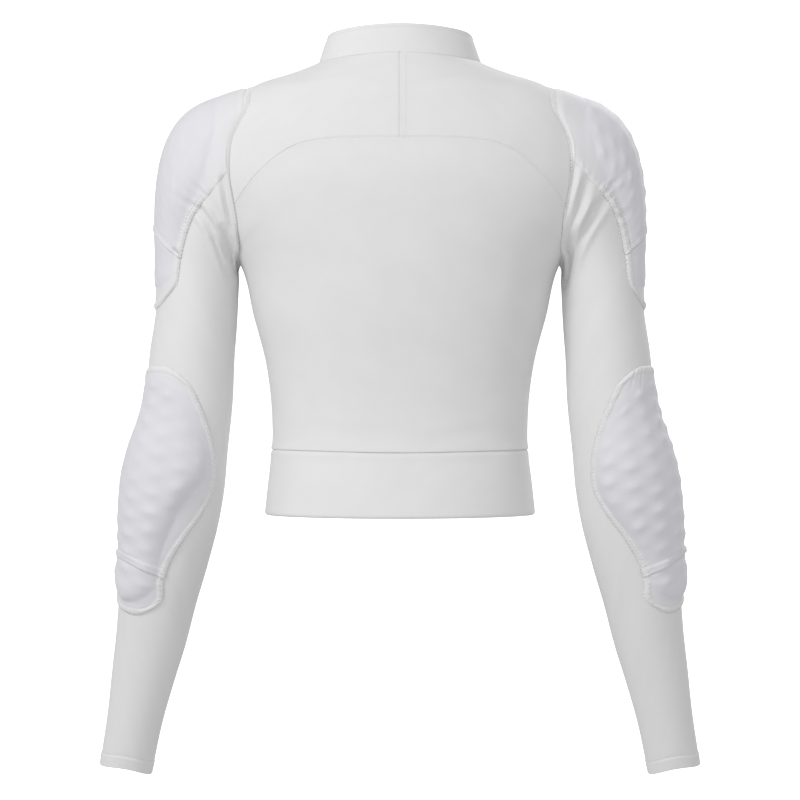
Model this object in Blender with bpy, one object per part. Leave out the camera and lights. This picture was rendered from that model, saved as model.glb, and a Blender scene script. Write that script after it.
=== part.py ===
"""Armour base-layer jacket in its worn, hollow form.

Cropped stretch jacket with a stand-up collar, a full-length front zip, a wide waistband, and a
pocket with a soft armour insert over each shoulder and each elbow. The front faces -Y and the
wearer's left is +X. The origin lies between the shoulders, at the height where the collar meets
the shoulder line. Sizes are in millimetres and become metres where a mesh is made.
"""
import functools
import math

import bmesh
import bpy
import numpy as np
from mathutils import Matrix

MM = 0.001

# Cloth and gaps
SEAM_GAP = 0.3
BODY_CLOTH = 1.5
SLEEVE_CLOTH = 1.4
DOUBLED_CLOTH = 2.5
POCKET_CLOTH = 1.2
HEM_RISE = 0.5          # how far a folded hem stands above the single cloth

# Main levels, as heights of the body's side line
HEM = -412.0
WAIST_SEAM = -352.0
ARMPIT = -184.0
SHOULDER_POINT = -24.0
NECK = 2.0

# The body as rings. level is the height at the side line; the ring dips or rises to z_back and z_front.
BODY_COLUMNS = ("level", "z_back", "z_front", "half_width", "back_depth", "front_depth", "squareness")
BODY_ROWS = (
    (-412.0, -415.0, -412.0, 124.0, 92.0, 91.0, 2.2),
    (-384.0, -386.0, -384.0, 121.0, 86.0, 87.0, 2.2),
    (-352.0, -355.0, -352.0, 117.5, 80.0, 83.0, 2.2),
    (-322.0, -323.0, -322.0, 117.6, 79.0, 85.0, 2.2),
    (-274.0, -274.0, -274.0, 123.0, 84.0, 95.0, 2.2),
    (-230.0, -230.0, -230.0, 134.3, 91.0, 108.0, 2.2),
    (-184.0, -184.0, -186.0, 146.0, 97.0, 112.0, 2.2),
    (-145.0, -145.0, -152.0, 171.0, 100.0, 107.0, 2.2),
    (-104.0, -104.0, -120.0, 188.0, 101.0, 98.0, 2.2),
    (-68.0, -68.0, -96.0, 182.0, 95.0, 87.0, 2.2),
    (-40.0, -38.0, -78.0, 158.0, 86.0, 78.0, 2.2),
    (-24.0, -21.0, -64.0, 134.0, 78.0, 73.0, 2.15),
    (-11.0, -6.0, -55.0, 105.0, 69.0, 66.0, 2.1),
    (2.0, 5.0, -48.0, 75.0, 60.0, 59.0, 2.05),
)

# Cells that pieces share along a seam, so that their facets meet
SIDE_CELLS = 7
ARMHOLE_CELLS = 12
YOKE_CELLS = 9
FRONT_CELLS = 7

# The collar's top edge
COLLAR_TOP = {"side": 26.0, "back": 32.0, "front": -5.0}
COLLAR_TOP_HALF_WIDTH = 66.0
COLLAR_TOP_BACK_DEPTH = 50.0
COLLAR_TOP_FRONT_DEPTH = 53.0

# Seams of the left half, seen square on: x outwards, z up
ARMHOLE_BACK = ((134.0, -24.0), (134.0, -25.3), (134.2, -30.5), (136.0, -44.0), (144.4, -58.5),
                (150.5, -71.0), (153.6, -91.0), (152.2, -114.0), (148.8, -133.0), (146.6, -152.0),
                (146.0, -170.0), (146.0, -184.0))
ARMHOLE_FRONT = ((134.0, -24.0), (133.9, -26.3), (133.7, -33.0), (134.8, -46.0), (139.0, -62.0),
                 (143.0, -84.0), (144.5, -108.0), (144.5, -133.0), (145.0, -154.0), (145.5, -171.0),
                 (146.0, -184.0))
YOKE_SEAM = ((147.7, -132.0), (143.6, -124.5), (127.0, -103.4), (107.0, -87.0), (89.0, -78.4),
             (62.0, -74.2), (30.0, -73.6), (0.0, -73.5))

# The arm below the sleeve cap, as rings square to the arm's line
ARM_COLUMNS = ("z", "x", "y", "half_width", "half_depth")
ARM_ROWS = (
    (-197.0, 184.5, -1.0, 36.5, 47.0),
    (-240.0, 188.0, 1.0, 38.0, 46.0),
    (-263.0, 190.6, 2.0, 38.9, 45.0),
    (-307.0, 193.8, 3.0, 40.2, 43.0),
    (-351.0, 199.3, 1.0, 41.1, 41.5),
    (-385.0, 203.5, -4.0, 42.0, 41.0),
    (-418.0, 208.7, -10.0, 41.0, 40.0),
    (-451.0, 214.8, -17.0, 38.0, 38.5),
    (-484.0, 221.4, -24.0, 34.6, 36.5),
    (-528.0, 229.6, -34.0, 31.5, 33.0),
    (-561.0, 236.3, -41.0, 28.4, 30.0),
    (-605.0, 244.8, -51.0, 25.6, 27.5),
    (-646.0, 252.8, -60.0, 23.8, 25.5),
)
CUFF_HEM = 12.0

# The sleeve cap's curves: how strongly each leaves the body and meets the arm, the direction in
# which it leaves, and how many seam gaps it stands off the armhole, over the arm, beside and under it
CAP_HANDLES = {"top": (78.0, 130.0), "side": (30.0, 45.0), "bottom": (4.0, 5.0)}
CAP_LEAVES = {"top": (1.0, 0.0, -0.12), "side": (0.65, 0.0, -0.75), "bottom": (0.75, 0.0, -0.65)}
CAP_SPREAD = 0.05
CAP_GAPS = {"top": 1.0, "side": 2.0, "bottom": 4.5}

# Pockets: stations run 0 to 1 down the sleeve cap, then 1 more for each 100 mm down the arm.
# middle is the angle of the pocket's centre line round the arm, 0 outwards and 90 at the back.
# lay_gap and pad_gap keep the facets of the pocket and of the insert clear of what they lie on.
STATION_LENGTH = 100.0
SIDE_TURN = {"left": 0.0, "right": -11.0}
POCKETS = {
    "shoulder": {"lay_gap": 1.35, "pad_gap": 2.2, "pad_rise": 4.6, "middle": 4.0,
                 "top": 0.03, "top_sag": 0.0, "band": 0.885, "band_sag": 0.03,
                 "bottom": 1.30, "bottom_lift": 0.22,
                 "reach": ((0.03, 84.0), (0.30, 80.0), (0.55, 70.0), (0.75, 64.0), (0.90, 61.0),
                           (1.10, 58.0), (1.30, 46.0)),
                 "cells": (14, 14, 4), "margin_cells": (1, 2, 2)},
    "elbow": {"lay_gap": 0.85, "pad_gap": 1.1, "pad_rise": 7.0, "middle": 42.0,
              "top": 1.70, "top_sag": 0.14, "band": 3.62, "band_sag": 0.08,
              "bottom": 4.10, "bottom_lift": 0.16,
              "reach": ((1.70, 38.0), (1.90, 58.0), (2.20, 79.0), (2.50, 90.0), (2.80, 93.0),
                        (3.05, 85.0), (3.35, 66.0), (3.62, 55.0), (3.90, 58.0), (4.10, 40.0)),
              "cells": (14, 20, 5), "margin_cells": (1, 2, 2)},
}
BUMP_RISE = 1.3
PAD_EDGE = 2.2
PAD_RAMP = {"side": 0.35, "top": 0.25, "bottom": 0.35}    # how far in from each edge it is full
PAD_PLAY = 0.95         # the insert's width as a share of the room its pocket gives it
PAD_END_PLAY = 0.02     # how far its ends stay back, as a share of the pocket's upper panel

# Zip: chain between the fronts, slider just below the collar's top edge, hinged pull tab
CHAIN_HALF_WIDTH = 3.0
CHAIN_THICKNESS = 2.2
CHAIN_RISE = 0.4        # how far its face stands above the cloth beside it
CHAIN_TOP_GAP = 7.0
PLATE_HALF_WIDTH = 4.2
PLATE_BELOW = 7.2       # how far the plates reach below the chain's end
PLATE_THICKNESS = 1.2
PLATE_FRONT_GAP = 0.4
PLATE_BACK_GAP = 1.6
POST_HALF_WIDTH = 2.4
POST_LENGTH = 2.6
PLATE_OVER_POST = 0.6
BRIDGE_HALF_WIDTH = 1.1
BRIDGE_SHARE = 0.62     # the bridge's length as a share of the plate's
BRIDGE_BAR = 0.9
BRIDGE_CLEARANCE = 2.0
BRIDGE_SINK = 0.1
METAL_EDGE = 0.35
TAB_BAR = 1.3
TAB_HALF_WIDTH = 3.0
TAB_LENGTH = 24.0
TAB_THICKNESS = 1.2
TAB_WINDOW = 5.0
TAB_WINDOW_PLAY = 0.45

COLOURS = {
    "shell cloth": ((0.80, 0.80, 0.80), 0.75, 0.0),
    "pocket cloth": ((0.78, 0.77, 0.81), 0.65, 0.0),
    "armour foam": ((0.60, 0.60, 0.64), 0.80, 0.0),
    "zip chain": ((0.82, 0.82, 0.82), 0.45, 0.0),
    "zip metal": ((0.72, 0.72, 0.73), 0.30, 1.0),
}


def through(knots, values, at):
    """A cubic through every knot, with slopes taken from its neighbours, straight beyond the ends."""
    knots, values, at = (np.asarray(v, float) for v in (knots, values, at))
    slopes = np.gradient(values, knots, edge_order=1)
    i = np.clip(np.searchsorted(knots, at) - 1, 0, len(knots) - 2)
    width = knots[i + 1] - knots[i]
    t = np.clip((at - knots[i]) / width, 0.0, 1.0)
    inside = (values[i] * (1 + 2 * t) * (1 - t) ** 2 + slopes[i] * width * t * (1 - t) ** 2
              + values[i + 1] * t * t * (3 - 2 * t) + slopes[i + 1] * width * t * t * (t - 1))
    before = slopes[0] * np.minimum(at - knots[0], 0.0)
    after = slopes[-1] * np.maximum(at - knots[-1], 0.0)
    return inside + before + after


def column(rows, columns, name):
    """One named column of a table."""
    return np.array([row[columns.index(name)] for row in rows])


def unit(vectors):
    """Vectors brought to length one."""
    return vectors / np.linalg.norm(vectors, axis=-1, keepdims=True)


def along(points, fractions):
    """Points at fractions of the length of a smooth curve through the given points."""
    points = np.asarray(points, float)
    knots = np.linspace(0.0, 1.0, len(points))
    fine = np.linspace(0.0, 1.0, 20 * len(points))
    curve = np.stack([through(knots, points[:, k], fine) for k in range(points.shape[1])], axis=-1)
    steps = np.linalg.norm(np.diff(curve, axis=0), axis=1)
    travelled = np.concatenate([[0.0], np.cumsum(steps)]) / steps.sum()
    return np.stack([np.interp(fractions, travelled, curve[:, k]) for k in range(points.shape[1])], axis=-1)


def body_ring(level):
    """Half width, back depth, front depth, squareness and the two rim heights of the ring at a level."""
    levels = column(BODY_ROWS, BODY_COLUMNS, "level")
    return {name: through(levels, column(BODY_ROWS, BODY_COLUMNS, name), level) for name in BODY_COLUMNS[1:]}


def body_point(theta, level):
    """A point on the body's outer surface. theta is 0 at the left side, 90 at the back, -90 at the front."""
    theta, level = np.broadcast_arrays(np.asarray(theta, float), np.asarray(level, float))
    ring = body_ring(level)
    cosine, sine = np.cos(np.radians(theta)), np.sin(np.radians(theta))
    depth = np.where(sine >= 0, ring["back_depth"], ring["front_depth"])
    n = ring["squareness"]
    radius = (np.abs(cosine / ring["half_width"]) ** n + np.abs(sine / depth) ** n) ** (-1.0 / n)
    z = (level + (ring["z_back"] - level) * np.maximum(sine, 0.0) ** 2
         + (ring["z_front"] - level) * np.maximum(-sine, 0.0) ** 2)
    return np.stack([radius * cosine, radius * sine, z], axis=-1)


def normals_of(surface, first, second):
    """Outward unit normals of a surface of two parameters, from small steps along each."""
    step = 0.01
    across = surface(first + step, second) - surface(first - step, second)
    up = surface(first, second + step) - surface(first, second - step)
    return unit(np.cross(across, up))


def locate(x, z, front=False):
    """The angle and level of the body point that shows at x and z, seen square on."""
    levels = np.linspace(HEM, NECK, 800)
    level = z
    for _ in range(25):
        ring = body_ring(np.array(level))
        n = ring["squareness"]
        depth = ring["front_depth"] if front else ring["back_depth"]
        share = min(abs(x) / float(ring["half_width"]), 1.0)
        y = float(depth) * (1.0 - share ** n) ** (1.0 / n)
        theta = math.degrees(math.atan2(-y if front else y, x))
        heights = body_point(np.full_like(levels, theta), levels)[:, 2]
        level = float(np.interp(z, heights, levels))
    return theta, level


def seam(points, front=False):
    """A seam given square on, as angle and level pairs on the body."""
    return np.array([locate(x, z, front) for x, z in points])


@functools.cache
def armhole_line(front):
    """The armhole seam's own points in angle and level, from the shoulder point to the armpit."""
    located = seam(ARMHOLE_FRONT if front else ARMHOLE_BACK, front)
    located[0] = (0.0, SHOULDER_POINT)
    located[-1] = (0.0, ARMPIT)
    return located


def armhole(fractions, front=False):
    """The armhole seam in angle and level, at fractions from the shoulder point to the armpit."""
    return along(armhole_line(front), fractions)


def mix(bottom, top, left, right):
    """Fills four edges, given in angle and level, with a grid that joins them smoothly."""
    u = np.linspace(0.0, 1.0, len(bottom))[None, :, None]
    v = np.linspace(0.0, 1.0, len(left))[:, None, None]
    corners = ((1 - u) * (1 - v) * bottom[0] + u * (1 - v) * bottom[-1]
               + (1 - u) * v * top[0] + u * v * top[-1])
    return (1 - v) * bottom[None] + v * top[None] + (1 - u) * left[:, None] + u * right[:, None] - corners


def run(start, end, count):
    """Evenly spaced angle and level pairs from start to end, without the last."""
    return np.linspace(start, end, count, endpoint=False)


def add_mesh(name, points, faces, material, mirrored=False):
    """A closed object from points in millimetres; mirrored makes the wearer's right-hand piece."""
    points = np.array(points, float) * MM
    if mirrored:
        points[:, 0] *= -1.0
    mesh = bpy.data.meshes.new(name)
    mesh.from_pydata(points.tolist(), [], faces)
    shape = bmesh.new()
    shape.from_mesh(mesh)
    bmesh.ops.recalc_face_normals(shape, faces=shape.faces)
    shape.to_mesh(mesh)
    shape.free()
    mesh.shade_smooth()
    mesh.set_sharp_from_angle(angle=math.radians(50))
    mesh.materials.append(finish(material))
    item = bpy.data.objects.new(name, mesh)
    bpy.context.scene.collection.objects.link(item)
    item.parent = bpy.data.objects["jacket"]
    return item


def finish(name):
    """The material of that name, made when it is first needed."""
    if name in bpy.data.materials:
        return bpy.data.materials[name]
    colour, roughness, metallic = COLOURS[name]
    material = bpy.data.materials.new(name)
    material.use_nodes = True
    shader = material.node_tree.nodes["Principled BSDF"]
    shader.inputs["Base Color"].default_value = (*colour, 1.0)
    shader.inputs["Roughness"].default_value = roughness
    shader.inputs["Metallic"].default_value = metallic
    return material


def wall(name, outer, inner, material, closed=False, mirrored=False):
    """A wall of cloth: an outer grid, an inner grid behind it, and a rim along every open edge.

    closed joins the last column to the first, as on a tube."""
    rows, columns = outer.shape[:2]
    count = rows * columns
    index = np.arange(count).reshape(rows, columns)
    loop = np.concatenate([index, index[:, :1]], axis=1) if closed else index
    faces = []
    for i in range(rows - 1):
        for j in range(loop.shape[1] - 1):
            a, b, c, d = loop[i, j], loop[i, j + 1], loop[i + 1, j + 1], loop[i + 1, j]
            faces.append((a, b, c, d))
            faces.append((d + count, c + count, b + count, a + count))
    edges = [loop[0, ::-1], loop[-1]]
    if not closed:
        edges += [loop[:, 0], loop[::-1, -1]]
    for edge in edges:
        for a, b in zip(edge[:-1], edge[1:]):
            faces.append((b, a, a + count, b + count))
    points = np.concatenate([outer.reshape(-1, 3), inner.reshape(-1, 3)])
    return add_mesh(name, points, [tuple(int(k) for k in face) for face in faces], material, mirrored)


def body_wall(name, grid, thickness, rise=0.0, mirrored=False):
    """A panel of the body from its grid of angles and levels."""
    theta, level = grid[..., 0], grid[..., 1]
    surface = body_point(theta, level)
    normal = normals_of(body_point, theta, level)
    return wall(name, surface + normal * rise, surface + normal * (rise - thickness), "shell cloth",
                mirrored=mirrored)


def inset(grid, left=0.0, right=0.0, bottom=0.0, top=0.0):
    """Moves a grid's edges in along the surface by half a seam gap each, in millimetres."""
    moved = grid.copy()
    surface = body_point(grid[..., 0], grid[..., 1])

    def pull(edge, neighbour, distance):
        gap = np.linalg.norm(surface[neighbour] - surface[edge], axis=-1, keepdims=True)
        moved[edge] = moved[edge] + (moved[neighbour] - moved[edge]) * distance / gap

    for edge, neighbour, distance in (((slice(None), 0), (slice(None), 1), left),
                                      ((slice(None), -1), (slice(None), -2), right),
                                      ((0,), (1,), bottom), ((-1,), (-2,), top)):
        if distance:
            pull(edge, neighbour, distance)
    return moved


def yoke_edge(columns):
    """The yoke seam from the left armhole to the centre back, and where on the armhole it starts."""
    located = seam(YOKE_SEAM)
    located[-1, 0] = 90.0
    cells = np.arange(ARMHOLE_CELLS + 1) / ARMHOLE_CELLS
    hole = armhole(cells)
    start = int(np.argmin(np.abs(hole[:, 1] - located[0, 1])))
    located[0] = hole[start]
    return along(located, np.linspace(0.0, 1.0, columns)), cells[start]


def make_back():
    """The back panel, from the waist seam to the yoke seam, between the side seams."""
    left_top, start = yoke_edge(YOKE_CELLS + 1)
    right_top = np.stack([180.0 - left_top[::-1, 0], left_top[::-1, 1]], axis=-1)
    top = np.concatenate([left_top, right_top[1:]])
    angles = np.linspace(0.0, 180.0, len(top))
    bottom = np.stack([angles, np.full(len(top), WAIST_SEAM)], axis=-1)
    side = run((0.0, WAIST_SEAM), (0.0, ARMPIT), SIDE_CELLS)
    hole = armhole(np.linspace(1.0, start, round((1.0 - start) * ARMHOLE_CELLS) + 1))
    left = np.concatenate([side, hole])
    right = np.stack([180.0 - left[:, 0], left[:, 1]], axis=-1)
    half_gap = SEAM_GAP / 2
    grid = inset(mix(bottom, top, left, right), half_gap, half_gap, half_gap, half_gap)
    body_wall("back_panel", grid, BODY_CLOTH)


def make_yokes():
    """The two halves of the back yoke, which meet at the centre-back seam and run over the shoulder."""
    bottom, start = yoke_edge(YOKE_CELLS + 1)
    hole = armhole(np.linspace(start, 0.0, round(start * ARMHOLE_CELLS) + 1))[:-1]
    shoulder = np.linspace((0.0, SHOULDER_POINT), (0.0, NECK), 5)
    left = np.concatenate([hole, shoulder])
    top = np.stack([np.linspace(0.0, 90.0, len(bottom)), np.full(len(bottom), NECK)], axis=-1)
    right = np.stack([np.full(len(left), 90.0), np.linspace(bottom[-1, 1], NECK, len(left))], axis=-1)
    half_gap = SEAM_GAP / 2
    grid = inset(mix(bottom, top, left, right), half_gap, half_gap, half_gap, half_gap)
    body_wall("back_yoke_left", grid, BODY_CLOTH)
    body_wall("back_yoke_right", grid, BODY_CLOTH, mirrored=True)


def zip_edge(levels):
    """The angle at which a front edge stands beside the chain, at each level."""
    depth = body_ring(levels)["front_depth"]
    return -90.0 + np.degrees(np.arcsin((CHAIN_HALF_WIDTH + SEAM_GAP) / depth))


def make_fronts():
    """The two fronts, from the waist seam to the neck, between the side seams and the zip."""
    side = run((0.0, WAIST_SEAM), (0.0, ARMPIT), SIDE_CELLS)
    hole = armhole(np.linspace(1.0, 0.0, ARMHOLE_CELLS + 1), front=True)[:-1]
    shoulder = np.linspace((0.0, SHOULDER_POINT), (0.0, NECK), 5)
    outer_edge = np.concatenate([side, hole, shoulder])
    heights = np.linspace(WAIST_SEAM, NECK, len(outer_edge))
    centre = np.stack([zip_edge(heights), heights], axis=-1)
    columns = FRONT_CELLS + 1
    share = np.linspace(0.0, 1.0, columns)
    bottom = np.stack([centre[0, 0] * share, np.full(columns, WAIST_SEAM)], axis=-1)
    top = np.stack([centre[-1, 0] * share, np.full(columns, NECK)], axis=-1)
    half_gap = SEAM_GAP / 2
    grid = inset(mix(bottom, top, outer_edge, centre), half_gap, 0.0, half_gap, half_gap)
    body_wall("front_left", grid, BODY_CLOTH)
    body_wall("front_right", grid, BODY_CLOTH, mirrored=True)


def make_waistband():
    """The doubled band from the waist seam to the hem, open at the front for the zip."""
    levels = np.linspace(WAIST_SEAM - SEAM_GAP, HEM, 3)
    share = np.linspace(0.0, 1.0, 45)[None, :]
    start = zip_edge(levels)[:, None]
    theta = start + (180.0 - 2 * start) * share
    grid = np.stack([theta, np.broadcast_to(levels[:, None], theta.shape)], axis=-1)
    body_wall("waistband", grid, DOUBLED_CLOTH, rise=0.5)


def collar_point(theta, share):
    """A point on the collar's outer face, share 0 at the neck seam and 1 at the top edge."""
    theta, share = np.broadcast_arrays(np.asarray(theta, float), np.asarray(share, float))
    base = body_point(theta, np.full(theta.shape, NECK))
    cosine, sine = np.cos(np.radians(theta)), np.sin(np.radians(theta))
    depth = np.where(sine >= 0, COLLAR_TOP_BACK_DEPTH, COLLAR_TOP_FRONT_DEPTH)
    radius = ((cosine / COLLAR_TOP_HALF_WIDTH) ** 2 + (sine / depth) ** 2) ** -0.5
    z = (COLLAR_TOP["side"] + (COLLAR_TOP["back"] - COLLAR_TOP["side"]) * np.maximum(sine, 0.0) ** 2
         + (COLLAR_TOP["front"] - COLLAR_TOP["side"]) * np.maximum(-sine, 0.0) ** 2)
    edge = np.stack([radius * cosine, radius * sine, z], axis=-1)
    return base + (edge - base) * share[..., None]


def make_collar():
    """The doubled stand-up collar, open at the front for the zip."""
    shares = np.array([0.012, 0.5, 1.0])[:, None]
    front = -90.0 + math.degrees(math.asin((CHAIN_HALF_WIDTH + SEAM_GAP) / COLLAR_TOP_FRONT_DEPTH))
    theta = front + (180.0 - 2 * front) * np.linspace(0.0, 1.0, 37)[None, :]
    theta, shares = np.broadcast_arrays(theta, shares)
    surface = collar_point(theta, shares)
    normal = normals_of(collar_point, theta, shares)
    wall("collar", surface, surface - normal * DOUBLED_CLOTH, "shell cloth")


def arm_lengths():
    """How far down the arm each row of the arm table lies."""
    centres = np.stack([column(ARM_ROWS, ARM_COLUMNS, name) for name in ("x", "y", "z")], axis=-1)
    steps = np.linalg.norm(np.diff(centres, axis=0), axis=1)
    return np.concatenate([[0.0], np.cumsum(steps)])


def arm_point(angle, down):
    """A point on the arm's surface, an ellipse square to the arm's line at a distance down it."""
    lengths = arm_lengths()

    def centre(at):
        return np.stack([through(lengths, column(ARM_ROWS, ARM_COLUMNS, name), at)
                         for name in ("x", "y", "z")], axis=-1)

    line = unit(centre(down + 2.0) - centre(down - 2.0))
    outward = unit(np.array([1.0, 0.0, 0.0]) - line * line[..., :1])
    back = np.cross(outward, line)
    width = through(lengths, column(ARM_ROWS, ARM_COLUMNS, "half_width"), down)
    depth = through(lengths, column(ARM_ROWS, ARM_COLUMNS, "half_depth"), down)
    turn = np.radians(angle)
    return (centre(down) + outward * (width * np.cos(turn))[..., None]
            + back * (depth * np.sin(turn))[..., None])


def cap_point(angle, share):
    """A point on the sleeve cap: a curve from the armhole seam, at share 0, to the arm's first ring."""
    turned = np.mod(angle, 360.0)
    behind = turned <= 180.0
    fraction = np.where(behind, turned, 360.0 - turned) / 180.0
    seam_pairs = np.where(behind[..., None], armhole(fraction), armhole(fraction, front=True))
    start = body_point(seam_pairs[..., 0], seam_pairs[..., 1])
    end = arm_point(angle, np.zeros_like(share))
    down_arm = unit(arm_point(angle, np.full_like(share, 4.0)) - end)
    cosine, sine = np.cos(np.radians(angle)), np.sin(np.radians(angle))
    weight = {"top": np.maximum(cosine, 0.0) ** 2, "bottom": np.maximum(-cosine, 0.0) ** 2}
    weight["side"] = 1.0 - weight["top"] - weight["bottom"]
    spread = (weight["side"] * sine * CAP_SPREAD)[..., None] * np.array([0.0, 1.0, 0.0])
    leave = unit(sum(weight[place][..., None] * np.array(CAP_LEAVES[place]) for place in weight) + spread)
    first = sum(weight[place] * CAP_HANDLES[place][0] for place in weight)[..., None]
    last = sum(weight[place] * CAP_HANDLES[place][1] for place in weight)[..., None]
    gap = SEAM_GAP * sum(weight[place] * CAP_GAPS[place] for place in weight)
    start = start + leave * gap[..., None]
    t = share[..., None]
    return (start * (1 - t) ** 3 + 3 * (start + leave * first) * t * (1 - t) ** 2
            + 3 * (end - down_arm * last) * t * t * (1 - t) + end * t ** 3)


def sleeve_point(angle, station):
    """A point on the sleeve's outer face at an angle round it and a station down it."""
    angle, station = np.broadcast_arrays(np.asarray(angle, float), np.asarray(station, float))
    cap = cap_point(angle, np.clip(station, 0.0, 1.0))
    arm = arm_point(angle, np.maximum(station - 1.0, 0.0) * STATION_LENGTH)
    return np.where((station < 1.0)[..., None], cap, arm)


def sleeve_normal(angle, station):
    """Outward normals of the sleeve, from steps that stay on the cap or on the arm."""
    angle, station = np.broadcast_arrays(np.asarray(angle, float), np.asarray(station, float))
    across = sleeve_point(angle + 0.5, station) - sleeve_point(angle - 0.5, station)
    low = np.maximum(station - 0.02, 0.0)
    high = np.minimum(station + 0.02, 1.0 + arm_lengths()[-1] / STATION_LENGTH)
    down = sleeve_point(angle, high) - sleeve_point(angle, low)
    return unit(np.cross(down, across))


def make_sleeves():
    """The two one-piece sleeves, from the armhole seam to the folded hem of the cuff."""
    end = 1.0 + arm_lengths()[-1] / STATION_LENGTH
    hem = end - CUFF_HEM / STATION_LENGTH
    cap = np.array([0.0, 0.05, 0.13, 0.24, 0.36, 0.49, 0.62, 0.75, 0.88])
    arm = np.linspace(1.0, hem, 11)
    stations = np.concatenate([cap, arm, [hem + 0.02, end]])
    angles = np.linspace(0.0, 360.0, 2 * ARMHOLE_CELLS, endpoint=False)
    station, angle = np.meshgrid(stations, angles, indexing="ij")
    surface, normal = sleeve_point(angle, station), sleeve_normal(angle, station)
    rise = np.where(station > hem + 0.01, HEM_RISE, 0.0)[..., None]
    for side in ("left", "right"):
        wall("sleeve_" + side, surface + normal * rise, surface - normal * SLEEVE_CLOTH, "shell cloth",
             closed=True, mirrored=side == "right")


def pocket_place(shape, across, share):
    """Angle from the pocket's middle and station, for across -1 to 1 and share 0 to 2.

    share runs from the pocket's top edge at 0 to its band at 1 and on to its bottom edge at 2."""
    across, share = np.broadcast_arrays(np.asarray(across, float), np.asarray(share, float))
    top = shape["top"] + shape["top_sag"] * across ** 4
    band = shape["band"] + shape["band_sag"] * across ** 2
    bottom = shape["bottom"] - shape["bottom_lift"] * across ** 4
    upper = top + (band - top) * np.minimum(share, 1.0)
    station = upper + (bottom - band) * np.maximum(share - 1.0, 0.0)
    stations, reaches = zip(*shape["reach"])
    return across * through(stations, reaches, station), station


def pad_limits(shape):
    """How far the insert reaches across its pocket, and the shares at which it starts and ends."""
    columns, rows, lower_rows = shape["cells"]
    side, top, bottom = shape["margin_cells"]
    return 1.0 - 2.0 * side / columns, top / rows, 2.0 - bottom / lower_rows


def pad_thickness(shape, across, share):
    """The insert's thickness, thin along its edge and full once it is past the ramp."""
    reach, first, last = pad_limits(shape)
    inwards = np.minimum.reduce([(reach - np.abs(across)) / PAD_RAMP["side"],
                                 (share - first) / PAD_RAMP["top"],
                                 (last - share) / PAD_RAMP["bottom"]])
    inwards = np.clip(inwards, 0.0, 1.0)
    return PAD_EDGE + (shape["pad_rise"] - PAD_EDGE) * inwards * (2.0 - inwards)


def pocket_lift(shape, across, share):
    """How far the pocket's inner face stands off the sleeve: clear of the insert, then down to the seam."""
    reach, first, last = pad_limits(shape)
    margin = np.minimum.reduce([(1.0 - np.abs(across)) / (1.0 - reach), share / first,
                                (2.0 - share) / (2.0 - last)])
    over = shape["lay_gap"] + shape["pad_gap"] + pad_thickness(shape, across, share)
    slope = shape["lay_gap"] + (shape["pad_gap"] + PAD_EDGE) * np.clip(margin, 0.0, 1.0)
    return np.where(margin > 1.0 - 1e-6, over, slope)


def bumps(rows, columns, margin):
    """A staggered pattern, 1 at each bump and 0 between them, that leaves a plain margin."""
    i, j = np.meshgrid(np.arange(rows), np.arange(columns), indexing="ij")
    raised = (i % 2 == 0) & ((j + i // 2) % 2 == 0)
    inside = (i >= margin) & (i < rows - 1) & (j >= margin) & (j < columns - margin)
    return np.where(raised & inside, 1.0, 0.0)


def pocket_panel(name, shape, turn, shares, columns, side, relief, hem_row=None):
    """One panel of a pocket, laid over the sleeve and over the insert beneath it."""
    across = np.linspace(-1.0, 1.0, columns + 1)
    share, across = np.meshgrid(shares, across, indexing="ij")
    offset, station = pocket_place(shape, across, share)
    angle = shape["middle"] + turn + offset
    surface, normal = sleeve_point(angle, station), sleeve_normal(angle, station)
    lift = pocket_lift(shape, across, share)
    rise = lift + POCKET_CLOTH + relief * BUMP_RISE
    if hem_row is not None:
        rise[hem_row] += HEM_RISE
    wall(name, surface + normal * rise[..., None], surface + normal * lift[..., None], "pocket cloth",
         mirrored=side == "right")


def make_pocket(place, side):
    """The upper panel, the lower panel and the insert of one pocket."""
    shape = POCKETS[place]
    turn = SIDE_TURN[side]
    columns, rows, lower_rows = shape["cells"]
    gap = SEAM_GAP / STATION_LENGTH / (shape["bottom"] - shape["band"])
    upper = np.linspace(0.0, 1.0, rows + 1)
    lower = np.linspace(1.0 + gap * 1.6, 2.0, lower_rows + 1)
    pocket_panel(f"{place}_pocket_upper_{side}", shape, turn, upper, columns, side,
                 bumps(rows + 1, columns + 1, 2), hem_row=-1)
    pocket_panel(f"{place}_pocket_lower_{side}", shape, turn, lower, columns, side,
                 np.zeros((lower_rows + 1, columns + 1)))

    reach, first, last = pad_limits(shape)
    pad_across = np.linspace(-reach, reach, columns - 2 * shape["margin_cells"][0] + 1)
    upper_rows = np.arange(first, 1.0 + 1e-6, 2.0 / rows)
    lower_share = np.arange(1.0, last + 1e-6, 1.0 / lower_rows)[1:]
    pad_share = np.concatenate([upper_rows, lower_share])
    share, across = np.meshgrid(pad_share, pad_across, indexing="ij")
    top = shape["pad_gap"] + pad_thickness(shape, across, share)
    share[0] += PAD_END_PLAY
    share[-1] -= 3.0 * PAD_END_PLAY
    across = across * PAD_PLAY
    offset, station = pocket_place(shape, across, share)
    angle = shape["middle"] + turn + offset
    surface, normal = sleeve_point(angle, station), sleeve_normal(angle, station)
    wall(f"{place}_armor_{side}", surface + normal * top[..., None], surface + normal * shape["pad_gap"],
         "armour foam", mirrored=side == "right")


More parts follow.
